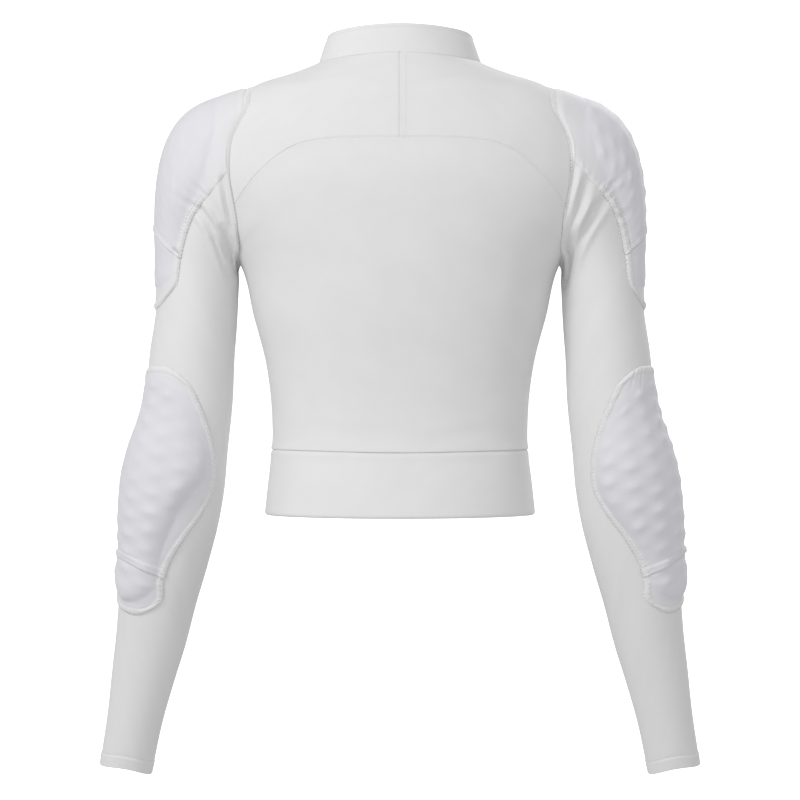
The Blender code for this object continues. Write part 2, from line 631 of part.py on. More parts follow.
def chain_line():
    """The middle line of the zip, from the hem to just below the collar's top edge, with its normals."""
    band_step = (WAIST_SEAM - HEM) / 4
    levels = np.concatenate([np.linspace(HEM, WAIST_SEAM, 5),
                             np.linspace(WAIST_SEAM + band_step, NECK - 3.0, 26)])
    theta = np.full(len(levels), -90.0)
    on_body = body_point(theta, levels)
    body_normals = normals_of(body_point, theta, levels)
    height = np.linalg.norm(collar_point(-90.0, 1.0) - collar_point(-90.0, 0.0))
    shares = np.linspace(0.08, 1.0 - CHAIN_TOP_GAP / height, 5)
    facing = np.full(len(shares), -90.0)
    on_collar = collar_point(facing, shares)
    collar_normals = normals_of(collar_point, facing, shares)
    return np.concatenate([on_body, on_collar]), np.concatenate([body_normals, collar_normals])


def make_chain():
    """The closed chain of the zip, a strip as deep as its teeth."""
    line, normal = chain_line()
    sideways = np.array([-1.0, 1.0])[None, :, None] * CHAIN_HALF_WIDTH * np.array([1.0, 0.0, 0.0])
    outer = line[:, None] + normal[:, None] * CHAIN_RISE + sideways
    wall("zip_chain", outer, outer - normal[:, None] * CHAIN_THICKNESS, "zip chain")


def slider_frame():
    """Origin, upward direction and outward direction of the slider, on the chain's face at its end."""
    line, normal = chain_line()
    up = unit(line[-1] - line[-3])
    out = unit(normal[-1] - up * (normal[-1] @ up))
    return line[-1] + out * CHAIN_RISE, up, out


def block(name, centre, half, up, out, material, bevel):
    """A box with half sizes across, up and out, its edges rounded by a bevel."""
    shape = bmesh.new()
    bmesh.ops.create_cube(shape, size=2.0)
    side = np.cross(up, out)
    for vertex in shape.verts:
        x, y, z = vertex.co
        place = centre + side * (x * half[0]) + up * (y * half[1]) + out * (z * half[2])
        vertex.co = place * MM
    bmesh.ops.bevel(shape, geom=shape.edges[:], offset=bevel * MM, segments=2, affect="EDGES", profile=0.5)
    bmesh.ops.recalc_face_normals(shape, faces=shape.faces)
    mesh = bpy.data.meshes.new(name)
    shape.to_mesh(mesh)
    shape.free()
    mesh.materials.append(finish(material))
    item = bpy.data.objects.new(name, mesh)
    bpy.context.scene.collection.objects.link(item)
    return item


def join_solid(target, piece, operation):
    """Joins piece to target, or cuts it out, and leaves piece as a hidden guide."""
    piece.hide_render = True
    piece.hide_viewport = False
    piece.display_type = "WIRE"
    change = target.modifiers.new(operation.lower() + " " + piece.name, "BOOLEAN")
    change.operation = operation
    change.solver = "EXACT"
    change.object = piece


def make_slider():
    """The slider: a plate before and behind the chain, a post above the chain's end, and a bridge."""
    origin, up, out = slider_frame()
    low = origin - up * PLATE_BELOW
    post_middle = origin + up * (SEAM_GAP + POST_LENGTH / 2)
    high = post_middle + up * (POST_LENGTH / 2 + PLATE_OVER_POST)
    plate_middle = (low + high) / 2
    plate_half = np.linalg.norm(high - low) / 2
    front_out = PLATE_FRONT_GAP + PLATE_THICKNESS / 2
    back_out = -CHAIN_THICKNESS - PLATE_BACK_GAP - PLATE_THICKNESS / 2
    item = block("zip_slider", plate_middle + out * front_out,
                 (PLATE_HALF_WIDTH, plate_half, PLATE_THICKNESS / 2), up, out, "zip metal", METAL_EDGE)
    back = block("slider back plate", plate_middle + out * back_out,
                 (PLATE_HALF_WIDTH, plate_half, PLATE_THICKNESS / 2), up, out, "zip metal", METAL_EDGE)
    post = block("slider post", post_middle + out * (front_out + back_out) / 2,
                 (POST_HALF_WIDTH, POST_LENGTH / 2, (front_out - back_out) / 2), up, out, "zip metal", 0.2)
    face = front_out + PLATE_THICKNESS / 2
    bridge_half = plate_half * BRIDGE_SHARE
    bridge_rise = (BRIDGE_CLEARANCE + BRIDGE_BAR) / 2
    bridge = block("slider bridge", plate_middle + out * (face + bridge_rise - BRIDGE_SINK),
                   (BRIDGE_HALF_WIDTH, bridge_half, bridge_rise + BRIDGE_SINK),
                   up, out, "zip metal", METAL_EDGE)
    hole = block("bridge hole", plate_middle + out * (face + (BRIDGE_CLEARANCE - BRIDGE_BAR) / 2),
                 (BRIDGE_HALF_WIDTH * 2, bridge_half - BRIDGE_BAR, bridge_rise),
                 up, out, "zip metal", 0.15)
    join_solid(bridge, hole, "DIFFERENCE")
    join_solid(item, back, "UNION")
    join_solid(item, post, "UNION")
    join_solid(item, bridge, "UNION")
    item.parent = bpy.data.objects["jacket"]
    return plate_middle + out * (face + BRIDGE_CLEARANCE / 2), up, out


def make_pull_tab(hinge, up, out):
    """The pull tab: a bar through the bridge, an arm on each side of it, and a tapered grip below."""
    outline = block("zip_pull_tab", hinge - up * (TAB_LENGTH / 2 - TAB_BAR / 2),
                    (TAB_HALF_WIDTH, TAB_LENGTH / 2, TAB_THICKNESS / 2), up, out, "zip metal", 0.5)
    window = block("tab window", hinge - up * (TAB_BAR / 2 + TAB_WINDOW / 2),
                   (BRIDGE_HALF_WIDTH + TAB_WINDOW_PLAY, TAB_WINDOW / 2, TAB_THICKNESS),
                   up, out, "zip metal", 0.3)
    join_solid(outline, window, "DIFFERENCE")
    pivot = bpy.data.objects.new("pull_tab_hinge", None)
    bpy.context.scene.collection.objects.link(pivot)
    pivot.parent = bpy.data.objects["jacket"]
    pivot.location = hinge * MM
    outline.parent = pivot
    outline.data.transform(Matrix.Translation(-pivot.location))


def build():
    """Empties the scene and makes every piece of the jacket."""
    for item in list(bpy.data.objects):
        bpy.data.objects.remove(item)
    root = bpy.data.objects.new("jacket", None)
    bpy.context.scene.collection.objects.link(root)
    make_back()
    make_yokes()
    make_fronts()
    make_waistband()
    make_collar()
    make_sleeves()
    for side in ("left", "right"):
        make_pocket("shoulder", side)
        make_pocket("elbow", side)
    make_chain()
    hinge, up, out = make_slider()
    make_pull_tab(hinge, up, out)


build()
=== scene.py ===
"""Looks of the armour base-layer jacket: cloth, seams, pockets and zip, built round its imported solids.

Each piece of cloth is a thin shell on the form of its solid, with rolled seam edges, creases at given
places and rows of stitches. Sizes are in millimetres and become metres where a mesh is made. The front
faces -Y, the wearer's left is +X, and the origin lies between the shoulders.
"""
import math

import bpy
import numpy as np
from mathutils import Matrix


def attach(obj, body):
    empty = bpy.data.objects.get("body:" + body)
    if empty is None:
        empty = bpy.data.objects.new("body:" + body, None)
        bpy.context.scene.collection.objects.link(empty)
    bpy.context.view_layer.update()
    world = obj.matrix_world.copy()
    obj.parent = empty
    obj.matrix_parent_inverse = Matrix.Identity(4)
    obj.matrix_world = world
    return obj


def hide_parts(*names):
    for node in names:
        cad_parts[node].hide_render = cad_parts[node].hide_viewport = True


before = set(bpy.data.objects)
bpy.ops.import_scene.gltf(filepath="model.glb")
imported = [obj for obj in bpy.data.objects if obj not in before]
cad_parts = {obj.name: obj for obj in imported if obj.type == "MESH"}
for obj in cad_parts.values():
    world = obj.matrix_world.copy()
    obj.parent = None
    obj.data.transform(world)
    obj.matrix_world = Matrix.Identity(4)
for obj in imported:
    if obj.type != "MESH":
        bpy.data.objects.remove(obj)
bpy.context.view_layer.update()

# The view
# A long lens looks level at the back of the jacket, square on, as a product photograph is taken.
# The picture is square and as wide as the sleeves need at the distance of the shoulders.
MM = 0.001
VIEW_DISTANCE = 2800.0
VIEW_WIDTH = 736.0
VIEW_HEIGHT = -307.0

lens = bpy.data.cameras.new("view")
lens.sensor_width = 36.0
lens.lens = lens.sensor_width * VIEW_DISTANCE / VIEW_WIDTH
camera = bpy.data.objects.new("view", lens)
camera.location = (0.0, VIEW_DISTANCE * MM, VIEW_HEIGHT * MM)
camera.rotation_euler = (math.pi / 2, 0.0, math.pi)
bpy.context.scene.collection.objects.link(camera)
bpy.context.scene.camera = camera
bpy.context.scene.view_settings.view_transform = "Standard"

# The light
# A soft box above and to the left of the lens, a larger and weaker one over the lens, and one for
# the front of the jacket, in a room that is evenly pale.
ROOM_LIGHT = 0.58
SOFT_BOXES = {
    "key light": {"place": (1800.0, 2000.0, 1450.0), "size": 900.0, "power": 33.0},
    "lens light": {"place": (300.0, 2900.0, 500.0), "size": 1500.0, "power": 12.0},
    "front light": {"place": (-1200.0, -2300.0, 1100.0), "size": 900.0, "power": 26.0},
}


def soft_box(name, place, size, power):
    """A square area light at a place, turned so that it faces the middle of the jacket."""
    light = bpy.data.lights.new(name, "AREA")
    light.size = size * MM
    light.energy = power
    item = bpy.data.objects.new(name, light)
    item.location = [value * MM for value in place]
    middle = item.location.copy()
    middle.xyz = (0.0, 0.0, VIEW_HEIGHT * MM)
    item.rotation_euler = (item.location - middle).to_track_quat("Z", "Y").to_euler()
    bpy.context.scene.collection.objects.link(item)


for box_name, box_facts in SOFT_BOXES.items():
    soft_box(box_name, **box_facts)
room = bpy.data.worlds.new("room")
room.use_nodes = True
room.node_tree.nodes["Background"].inputs["Color"].default_value = (1.0, 1.0, 1.0, 1.0)
room.node_tree.nodes["Background"].inputs["Strength"].default_value = ROOM_LIGHT
bpy.context.scene.world = room

# The sweep
# A plain white floor that curves up into a wall all round, as a photographer's paper does. It is
# only seen, and sends no light on to the cloth, so that the edges of the jacket stay clear.
FLOOR_LEVEL = -700.0
SWEEP_RADIUS = 5200.0
SWEEP_CURVE = 1500.0
SWEEP_TOP = 5200.0


def plain_mesh(name, points, faces):
    """An object from points in millimetres and faces."""
    mesh = bpy.data.meshes.new(name)
    mesh.from_pydata((np.asarray(points, float) * MM).tolist(), [], [tuple(face) for face in faces])
    item = bpy.data.objects.new(name, mesh)
    bpy.context.scene.collection.objects.link(item)
    return item


def grid_faces(rows, columns, closed=False, start=0):
    """The quads of a grid of points, row after row; closed joins the last column to the first."""
    index = start + np.arange(rows * columns).reshape(rows, columns)
    if closed:
        index = np.concatenate([index, index[:, :1]], axis=1)
    corners = (index[:-1, :-1], index[:-1, 1:], index[1:, 1:], index[1:, :-1])
    return np.stack(corners, axis=-1).reshape(-1, 4)


bend = np.linspace(0.0, math.pi / 2, 10)
sweep_radius = np.concatenate([[1.0], SWEEP_RADIUS - SWEEP_CURVE + SWEEP_CURVE * np.sin(bend),
                               [SWEEP_RADIUS]])
sweep_height = FLOOR_LEVEL + np.concatenate([[0.0], SWEEP_CURVE * (1.0 - np.cos(bend)), [SWEEP_TOP]])
turn = np.linspace(0.0, 2 * math.pi, 72, endpoint=False)
sweep_points = np.stack([sweep_radius[:, None] * np.cos(turn), sweep_radius[:, None] * np.sin(turn),
                         np.broadcast_to(sweep_height[:, None], (len(sweep_height), len(turn)))], axis=-1)
sweep = plain_mesh("sweep", sweep_points.reshape(-1, 3),
                   grid_faces(len(sweep_height), len(turn), closed=True))
paper = bpy.data.materials.new("white paper")
paper.use_nodes = True
paper_shader = paper.node_tree.nodes["Principled BSDF"]
paper_shader.inputs["Base Color"].default_value = (0.95, 0.95, 0.95, 1.0)
paper_shader.inputs["Roughness"].default_value = 1.0
paper_shader.inputs["Emission Color"].default_value = (1.0, 1.0, 1.0, 1.0)
paper_shader.inputs["Emission Strength"].default_value = 1.0
sweep.data.materials.append(paper)
sweep.visible_diffuse = False
sweep.visible_glossy = False
sweep.visible_transmission = False
sweep.visible_shadow = False

# The back panel
# One piece of knitted stretch cloth from the waist seam to the curved yoke seam, cut and sewn to
# its neighbours with flat seams. Here is also what every panel of the body shares: its form, its
# seam lines, the knitted cloth, and how an edge rolls down into a seam.
BODY_CLOTH = 1.5
WAIST_SEAM = -352.0
ARMPIT = -184.0
SHOULDER_POINT = -24.0
NECK = 2.0
BODY_COLUMNS = ("level", "z_back", "z_front", "half_width", "back_depth", "front_depth", "squareness")
BODY_ROWS = (
    (-412.0, -412.6, -412.0, 124.0, 92.0, 91.0, 2.2),
    (-384.0, -386.0, -384.0, 121.0, 86.0, 87.0, 2.2),
    (-352.0, -354.2, -352.0, 117.5, 80.0, 83.0, 2.2),
    (-322.0, -323.0, -322.0, 117.6, 79.0, 85.0, 2.2),
    (-274.0, -274.0, -274.0, 123.0, 84.0, 95.0, 2.2),
    (-230.0, -230.0, -230.0, 134.3, 91.0, 108.0, 2.2),
    (-184.0, -184.0, -186.0, 146.0, 97.0, 112.0, 2.2),
    (-145.0, -145.0, -152.0, 171.0, 100.0, 107.0, 2.2),
    (-104.0, -104.0, -120.0, 188.0, 101.0, 98.0, 2.2),
    (-68.0, -68.0, -96.0, 182.0, 95.0, 87.0, 2.2),
    (-40.0, -38.0, -78.0, 158.0, 86.0, 78.0, 2.2),
    (-24.0, -21.0, -64.0, 134.0, 78.0, 73.0, 2.15),
    (-11.0, -6.0, -55.0, 105.0, 69.0, 66.0, 2.1),
    (2.0, 6.6, -48.0, 75.0, 60.0, 59.0, 2.05),
)
ARMHOLE_BACK = ((134.0, -24.0), (134.0, -25.3), (134.2, -30.5), (136.0, -44.0), (144.4, -58.5),
                (150.5, -71.0), (153.6, -91.0), (152.2, -114.0), (148.8, -133.0), (146.6, -152.0),
                (146.0, -170.0), (146.0, -184.0))
ARMHOLE_FRONT = ((134.0, -24.0), (133.9, -26.3), (133.7, -33.0), (134.8, -46.0), (139.0, -62.0),
                 (143.0, -84.0), (144.5, -108.0), (144.5, -133.0), (145.0, -154.0), (145.5, -171.0),
                 (146.0, -184.0))
YOKE_SEAM = ((147.7, -132.0), (143.6, -124.5), (127.0, -103.4), (107.0, -87.0), (89.0, -78.4),
             (62.0, -74.2), (30.0, -73.6), (0.0, -73.5))
YOKE_START = 8 / 12
SHOULDER_RISE = 4.4
SHOULDER_WIDTH = 27.0
SHOULDER_AT = 129.0
SEAM_FALL = 0.25
SEAM_ROLL = 0.6
SEAM_SWELL = 0.14
FOLD = 0.9
WAIST_WAVES = ((0.45, 5.0, 0.6), (0.35, 9.0, 2.0), (0.2, 17.0, 0.0))


def through(knots, values, at):
    """A cubic through every knot, with slopes taken from its neighbours, straight beyond the ends."""
    knots, values, at = (np.asarray(v, float) for v in (knots, values, at))
    slopes = np.gradient(values, knots, edge_order=1)
    i = np.clip(np.searchsorted(knots, at) - 1, 0, len(knots) - 2)
    width = knots[i + 1] - knots[i]
    t = np.clip((at - knots[i]) / width, 0.0, 1.0)
    inside = (values[i] * (1 + 2 * t) * (1 - t) ** 2 + slopes[i] * width * t * (1 - t) ** 2
              + values[i + 1] * t * t * (3 - 2 * t) + slopes[i + 1] * width * t * t * (t - 1))
    before = slopes[0] * np.minimum(at - knots[0], 0.0)
    after = slopes[-1] * np.maximum(at - knots[-1], 0.0)
    return inside + before + after


def column(rows, columns, name):
    """One named column of a table."""
    return np.array([row[columns.index(name)] for row in rows])


def unit(vectors):
    """Vectors brought to length one."""
    return vectors / np.linalg.norm(vectors, axis=-1, keepdims=True)


def bell(distance, width, middle=0.0):
    """A bell curve: e to the power of minus the square of (distance - middle) / width."""
    return np.exp(-((distance - middle) / width) ** 2)


def plateau(distance, width, softness):
    """1 nearer than the width and 0 beyond it: 1 / (1 + e^((distance - width) / softness))."""
    return 1.0 / (1.0 + np.exp(np.clip((distance - width) / softness, -500.0, 500.0)))


def travel(points):
    """How far along a line of points each of them lies."""
    steps = np.linalg.norm(np.diff(points, axis=0), axis=1)
    return np.concatenate([[0.0], np.cumsum(steps)])


def pick(points, travelled, at):
    """The points of a line at given distances along it."""
    return np.stack([np.interp(at, travelled, points[:, k]) for k in range(points.shape[1])], axis=-1)


def along(points, fractions):
    """Points at fractions of the length of a smooth curve through the given points."""
    points = np.asarray(points, float)
    knots = np.linspace(0.0, 1.0, len(points))
    fine = np.linspace(0.0, 1.0, 20 * len(points))
    curve = np.stack([through(knots, points[:, k], fine) for k in range(points.shape[1])], axis=-1)
    travelled = travel(curve)
    return pick(curve, travelled / travelled[-1], fractions)


def body_ring(level):
    """Half width, depths, squareness and the two rim heights of the body's ring at a level."""
    levels = column(BODY_ROWS, BODY_COLUMNS, "level")
    return {name: through(levels, column(BODY_ROWS, BODY_COLUMNS, name), level) for name in BODY_COLUMNS[1:]}


def body_point(theta, level):
    """The body's outer surface: a ring whose radius is (|cos/width|^n + |sin/depth|^n)^(-1/n).

    theta is 0 at the left side, 90 at the back and -90 at the front."""
    theta, level = np.broadcast_arrays(np.asarray(theta, float), np.asarray(level, float))
    ring = body_ring(level)
    cosine, sine = np.cos(np.radians(theta)), np.sin(np.radians(theta))
    depth = np.where(sine >= 0, ring["back_depth"], ring["front_depth"])
    n = ring["squareness"]
    radius = (np.abs(cosine / ring["half_width"]) ** n + np.abs(sine / depth) ** n) ** (-1.0 / n)
    z = (level + (ring["z_back"] - level) * np.maximum(sine, 0.0) ** 2
         + (ring["z_front"] - level) * np.maximum(-sine, 0.0) ** 2)
    return np.stack([radius * cosine, radius * sine, z], axis=-1)


def normals_of(surface, first, second):
    """Outward unit normals of a surface of two parameters, from small steps along each."""
    step = 0.01
    across = surface(first + step, second) - surface(first - step, second)
    up = surface(first, second + step) - surface(first, second - step)
    return unit(np.cross(across, up))


def locate(x, z, front=False, rounds=25):
    """The angle and level of the body point that shows at x and z, seen square on.

    The level sets the ring, and the ring the level, so that they are found in turn until they agree."""
    levels = np.linspace(BODY_ROWS[0][0], NECK, 800)
    level = z
    for _ in range(rounds):
        ring = body_ring(np.array(level))
        n = ring["squareness"]
        depth = ring["front_depth"] if front else ring["back_depth"]
        share = min(abs(x) / float(ring["half_width"]), 1.0)
        y = float(depth) * (1.0 - share ** n) ** (1.0 / n)
        theta = math.degrees(math.atan2(-y if front else y, x))
        heights = body_point(np.full_like(levels, theta), levels)[:, 2]
        level = float(np.interp(z, heights, levels))
    return theta, level


def armhole_line(points, front):
    """The armhole seam in angle and level, from the shoulder point to the armpit."""
    located = np.array([locate(x, z, front) for x, z in points])
    located[0] = (0.0, SHOULDER_POINT)
    located[-1] = (0.0, ARMPIT)
    return located


armhole_knots = {False: armhole_line(ARMHOLE_BACK, False), True: armhole_line(ARMHOLE_FRONT, True)}


def armhole(fractions, front=False):
    """The armhole seam in angle and level, at fractions from the shoulder point to the armpit."""
    return along(armhole_knots[front], fractions)


yoke_knots = np.array([locate(x, z) for x, z in YOKE_SEAM])
yoke_knots[0] = armhole([YOKE_START])[0]
yoke_knots[-1, 0] = 90.0


def straight(start, end):
    """A seam that runs evenly from one angle and level to another, as a function of 0 to 1."""
    start, end = np.array(start), np.array(end)
    return lambda t: start + (end - start) * np.asarray(t)[:, None]


def chained(parts):
    """Seams joined end to end, as one function of 0 to 1. Each part is (its share, function)."""
    stops = np.cumsum([0.0] + [share for share, _ in parts])

    def at(t):
        t = np.asarray(t, float)
        result = np.zeros((len(t), 2))
        for k, (share, line) in enumerate(parts):
            last = k == len(parts) - 1
            inside = (t >= stops[k] - 1e-9) & ((t < stops[k + 1] - 1e-9) | last)
            result[inside] = line(np.clip((t[inside] - stops[k]) / share, 0.0, 1.0))
        return result

    return at


def mirrored_line(line):
    """The same seam on the other side of the centre back, where the angle is 180 less it."""
    return lambda t: np.stack([180.0 - line(t)[:, 0], line(t)[:, 1]], axis=-1)


def shares(length, step, stops=()):
    """Shares from 0 to 1 of a length, close together at both ends where cloth rolls into a seam."""
    close = np.array([0.0, 0.35, 0.8, 1.4, 2.2, 3.2, 4.4])
    middle = np.linspace(6.0, length - 6.0, max(2, round((length - 12.0) / step)))
    places = np.concatenate([close, middle, length - close[::-1]]) / length
    for stop in stops:
        places[np.argmin(np.abs(places - stop))] = stop
    return places


def mix(u, v, bottom, top, left, right):
    """Fills four seams with a grid of angles and levels that joins them smoothly."""
    low, high, near, far = bottom(u), top(u), left(v), right(v)
    across, up = u[None, :, None], v[:, None, None]
    corners = ((1 - across) * (1 - up) * low[0] + across * (1 - up) * low[-1]
               + (1 - across) * up * high[0] + across * up * high[-1])
    return ((1 - up) * low[None] + up * high[None] + (1 - across) * near[:, None]
            + across * far[:, None] - corners)


def lengths_along(points, axis):
    """How far each point of a grid lies along its row or column, in millimetres."""
    steps = np.linalg.norm(np.diff(points, axis=axis), axis=-1)
    start = np.zeros_like(np.take(steps, [0], axis=axis))
    return np.cumsum(np.concatenate([start, steps], axis=axis), axis=axis)


def rims(points, closed=False):
    """The distance of each point of a grid from its four borders: left, right, bottom and top."""
    across, up = lengths_along(points, 1), lengths_along(points, 0)
    far = np.full(up.shape, 1e3)
    return {"left": far if closed else across, "right": far if closed else across[:, -1:] - across,
            "bottom": up, "top": up[-1:] - up}


def seam_roll(distance):
    """A seam's relief: a fall beside the seam line, and a slight swell over the turned edge within."""
    return SEAM_SWELL * bell(distance, 1.7, middle=3.2) - SEAM_FALL * bell(distance, SEAM_ROLL)


def fold_roll(distance, radius):
    """How far a folded edge falls back: radius less the height of a round nose of that radius."""
    inside = np.clip(1.0 - distance / radius, 0.0, 1.0)
    return radius * (1.0 - np.sqrt(np.maximum(1.0 - inside ** 2, 0.0)))


def as_seen(points):
    """Where points show in the picture: x and height, brought to the distance of the shoulders."""
    nearer = VIEW_DISTANCE / (VIEW_DISTANCE - np.abs(points[..., 1]))
    return np.stack([points[..., 0] * nearer,
                     (points[..., 2] - VIEW_HEIGHT) * nearer + VIEW_HEIGHT], axis=-1)


def crease_relief(points, normals, creases, facing=1.0):
    """Soft troughs and ridges at given places on the side that faces the viewer, or the other side.

    Each crease is a curve through three points, as seen, with a width and a depth. Across it the
    relief is a trough, -depth times a bell curve, with lower ridges beside it; it fades at its ends."""
    relief = np.zeros(points.shape[:2])
    seen = as_seen(points)
    shown = np.clip(normals[..., 1] * facing * 4.0, 0.0, 1.0)
    t = np.linspace(0.0, 1.0, 40)
    for start, middle, end, width, depth in creases:
        curve = (np.outer((1 - t) ** 2, start) + 2 * np.outer(t * (1 - t), middle)
                 + np.outer(t ** 2, end))
        gaps = np.linalg.norm(seen[..., None, :] - curve, axis=-1)
        nearest = gaps.argmin(axis=-1)
        across = gaps.min(axis=-1) / width
        fade = np.sin(np.pi * np.clip(t[nearest] * 0.9 + 0.05, 0.0, 1.0)) ** 0.7
        profile = 0.5 * bell(across, 0.75, middle=1.8) - np.exp(-across ** 1.5)
        relief += depth * fade * profile * shown
    return relief


def knit(name, colour, roughness, sheen, pitch, depth, sewn_colour=None):
    """Knitted cloth: rows of small loops on the piece's own UV map, which is in millimetres.

    The height is |sin| across each column of loops times a sine down it, and noise for the nap.
    Where the piece's attribute "sewn" is 1, the cloth takes the colour of the thread over it."""
    material = bpy.data.materials.new(name)
    material.use_nodes = True
    tree = material.node_tree
    shader = tree.nodes["Principled BSDF"]
    shader.inputs["Roughness"].default_value = roughness
    shader.inputs["Sheen Weight"].default_value = sheen
    shader.inputs["Sheen Roughness"].default_value = 0.45
    shader.inputs["Specular IOR Level"].default_value = 0.25

    def node(kind, **settings):
        made = tree.nodes.new(kind)
        for key, value in settings.items():
            setattr(made, key, value)
        return made

    def calculate(operation, first, second=None):
        made = node("ShaderNodeMath", operation=operation)
        for socket, value in zip(made.inputs, (first, second)):
            if isinstance(value, float):
                socket.default_value = value
            elif value is not None:
                tree.links.new(value, socket)
        return made.outputs[0]

    place = node("ShaderNodeUVMap", uv_map="cloth")
    split = node("ShaderNodeSeparateXYZ")
    tree.links.new(place.outputs[0], split.inputs[0])
    turns = calculate("MULTIPLY", split.outputs[0], math.pi / pitch)
    columns = calculate("ABSOLUTE", calculate("SINE", turns))
    rows = calculate("SINE", calculate("MULTIPLY", split.outputs[1], 2.6 * math.pi / pitch))
    loops = calculate("MULTIPLY", columns, calculate("ADD", calculate("MULTIPLY", rows, 0.35), 1.0))
    nap = node("ShaderNodeTexNoise")
    nap.inputs["Scale"].default_value = 2.2
    nap.inputs["Detail"].default_value = 3.0
    tree.links.new(place.outputs[0], nap.inputs["Vector"])
    height = calculate("ADD", loops, calculate("MULTIPLY", nap.outputs[0], 0.6))
    bump = node("ShaderNodeBump")
    bump.inputs["Strength"].default_value = 0.35
    bump.inputs["Distance"].default_value = depth * MM
    tree.links.new(height, bump.inputs["Height"])
    tree.links.new(bump.outputs[0], shader.inputs["Normal"])

    shading = node("ShaderNodeTexNoise")
    shading.inputs["Scale"].default_value = 0.035
    shading.inputs["Detail"].default_value = 2.0
    tree.links.new(place.outputs[0], shading.inputs["Vector"])
    blend = node("ShaderNodeValToRGB")
    low, high = blend.color_ramp.elements
    low.position, high.position = 0.3, 0.7
    low.color = (*[value * 0.975 for value in colour], 1.0)
    high.color = (*colour, 1.0)
    tree.links.new(shading.outputs[0], blend.inputs[0])
    tone = blend.outputs[0]
    if sewn_colour:
        sewn = node("ShaderNodeAttribute", attribute_name="sewn")
        covered = node("ShaderNodeMix", data_type="RGBA")
        tree.links.new(sewn.outputs["Fac"], covered.inputs[0])
        tree.links.new(tone, covered.inputs[6])
        covered.inputs[7].default_value = (*sewn_colour, 1.0)
        tone = covered.outputs[2]
    loop_shade = node("ShaderNodeMix", data_type="RGBA", blend_type="MULTIPLY")
    tree.links.new(calculate("MULTIPLY", columns, 0.06), loop_shade.inputs[0])
    tree.links.new(tone, loop_shade.inputs[6])
    loop_shade.inputs[7].default_value = (0.9, 0.9, 0.9, 1.0)
    tree.links.new(loop_shade.outputs[2], shader.inputs["Base Color"])
    return material


shell_knit = knit("shell knit", (0.80, 0.80, 0.80), roughness=0.80, sheen=0.20, pitch=0.9, depth=0.12)


def shell(name, outer, inner, material, closed=False, mirrored=False):
    """A closed shell of cloth: an outer grid, an inner grid, and a rim that joins their borders.

    Its UV map holds the distance along each row and each column, in millimetres."""
    rows, columns = outer.shape[:2]
    count = rows * columns
    width = columns + 1 if closed else columns
    index = np.arange(count).reshape(rows, columns)
    loop = np.concatenate([index, index[:, :1]], axis=1) if closed else index
    front = grid_faces(rows, columns, closed)
    faces = [front, front[:, ::-1] + count]
    edges = [loop[0, ::-1], loop[-1]]
    if not closed:
        edges += [loop[:, 0], loop[::-1, -1]]
    for edge in edges:
        faces.append(np.stack([edge[:-1], edge[1:], edge[1:] + count, edge[:-1] + count], axis=-1))
    faces = np.concatenate(faces)
    points = np.concatenate([outer.reshape(-1, 3), inner.reshape(-1, 3)]) * MM
    if mirrored:
        points[:, 0] *= -1.0
        faces = faces[:, ::-1]
    mesh = bpy.data.meshes.new(name)
    mesh.vertices.add(len(points))
    mesh.vertices.foreach_set("co", points.astype(np.float32).ravel())
    mesh.loops.add(faces.size)
    mesh.loops.foreach_set("vertex_index", faces.astype(np.int32).ravel())
    mesh.polygons.add(len(faces))
    mesh.polygons.foreach_set("loop_start", np.arange(0, faces.size, 4, dtype=np.int32))
    mesh.update(calc_edges=True)
    wrapped = np.concatenate([outer, outer[:, :1]], axis=1) if closed else outer
    around, down = lengths_along(wrapped, 1), lengths_along(wrapped, 0)
    places = np.stack([around, down], axis=-1)
    spots = faces % count
    row, place = spots // columns, spots % columns
    if closed:
        wraps = (place == 0) & (place.max(axis=1, keepdims=True) == columns - 1)
        place = np.where(wraps, width - 1, place)
    layer = mesh.uv_layers.new(name="cloth")
    layer.data.foreach_set("uv", places[row, place].astype(np.float32).ravel())
    mesh.shade_smooth()
    mesh.materials.append(material)
    item = bpy.data.objects.new(name, mesh)
    bpy.context.scene.collection.objects.link(item)
    return item


def sew_in(item, node, slot, flat, area, held="stretched"):
    """Puts a piece of cloth in its node's place, on the jacket, and hides that node's solid."""
    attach(item, "jacket")
    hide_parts(node)


def body_panel(name, grid, relief, thickness=BODY_CLOTH, mirrored=False):
    """A panel of the body from its grid of angles and levels, moved out by its relief."""
    surface = body_point(grid[..., 0], grid[..., 1])
    normal = normals_of(body_point, grid[..., 0], grid[..., 1])
    outer = surface + normal * relief(surface, normal)[..., None]
    return shell(name, outer, surface - normal * thickness, shell_knit, mirrored=mirrored)


SIDE_SHARE = 7 / 11
left_side = straight((0.0, WAIST_SEAM), (0.0, ARMPIT))
back_edge = chained([(SIDE_SHARE, left_side),
                     (1.0 - SIDE_SHARE, lambda t: armhole(1.0 - t * (1.0 - YOKE_START)))])


def whole_yoke_seam(t):
    """The yoke seam from armhole to armhole: the left half, then the same points mirrored."""
    left = along(yoke_knots, np.clip(2.0 * t, 0.0, 1.0))
    right = along(yoke_knots, np.clip(2.0 - 2.0 * t, 0.0, 1.0))
    mirrored_right = np.stack([180.0 - right[:, 0], right[:, 1]], axis=-1)
    return np.where((t <= 0.5)[:, None], left, mirrored_right)


BACK_CREASES = (
    ((95.0, -332.0), (40.0, -341.0), (-12.0, -338.0), 7.0, 0.5),
    ((-20.0, -343.0), (-50.0, -340.0), (-88.0, -334.0), 6.0, 0.5),
    ((120.0, -150.0), (128.0, -190.0), (122.0, -232.0), 9.0, 0.5),
    ((-126.0, -160.0), (-124.0, -205.0), (-112.0, -250.0), 12.0, 0.7),
)


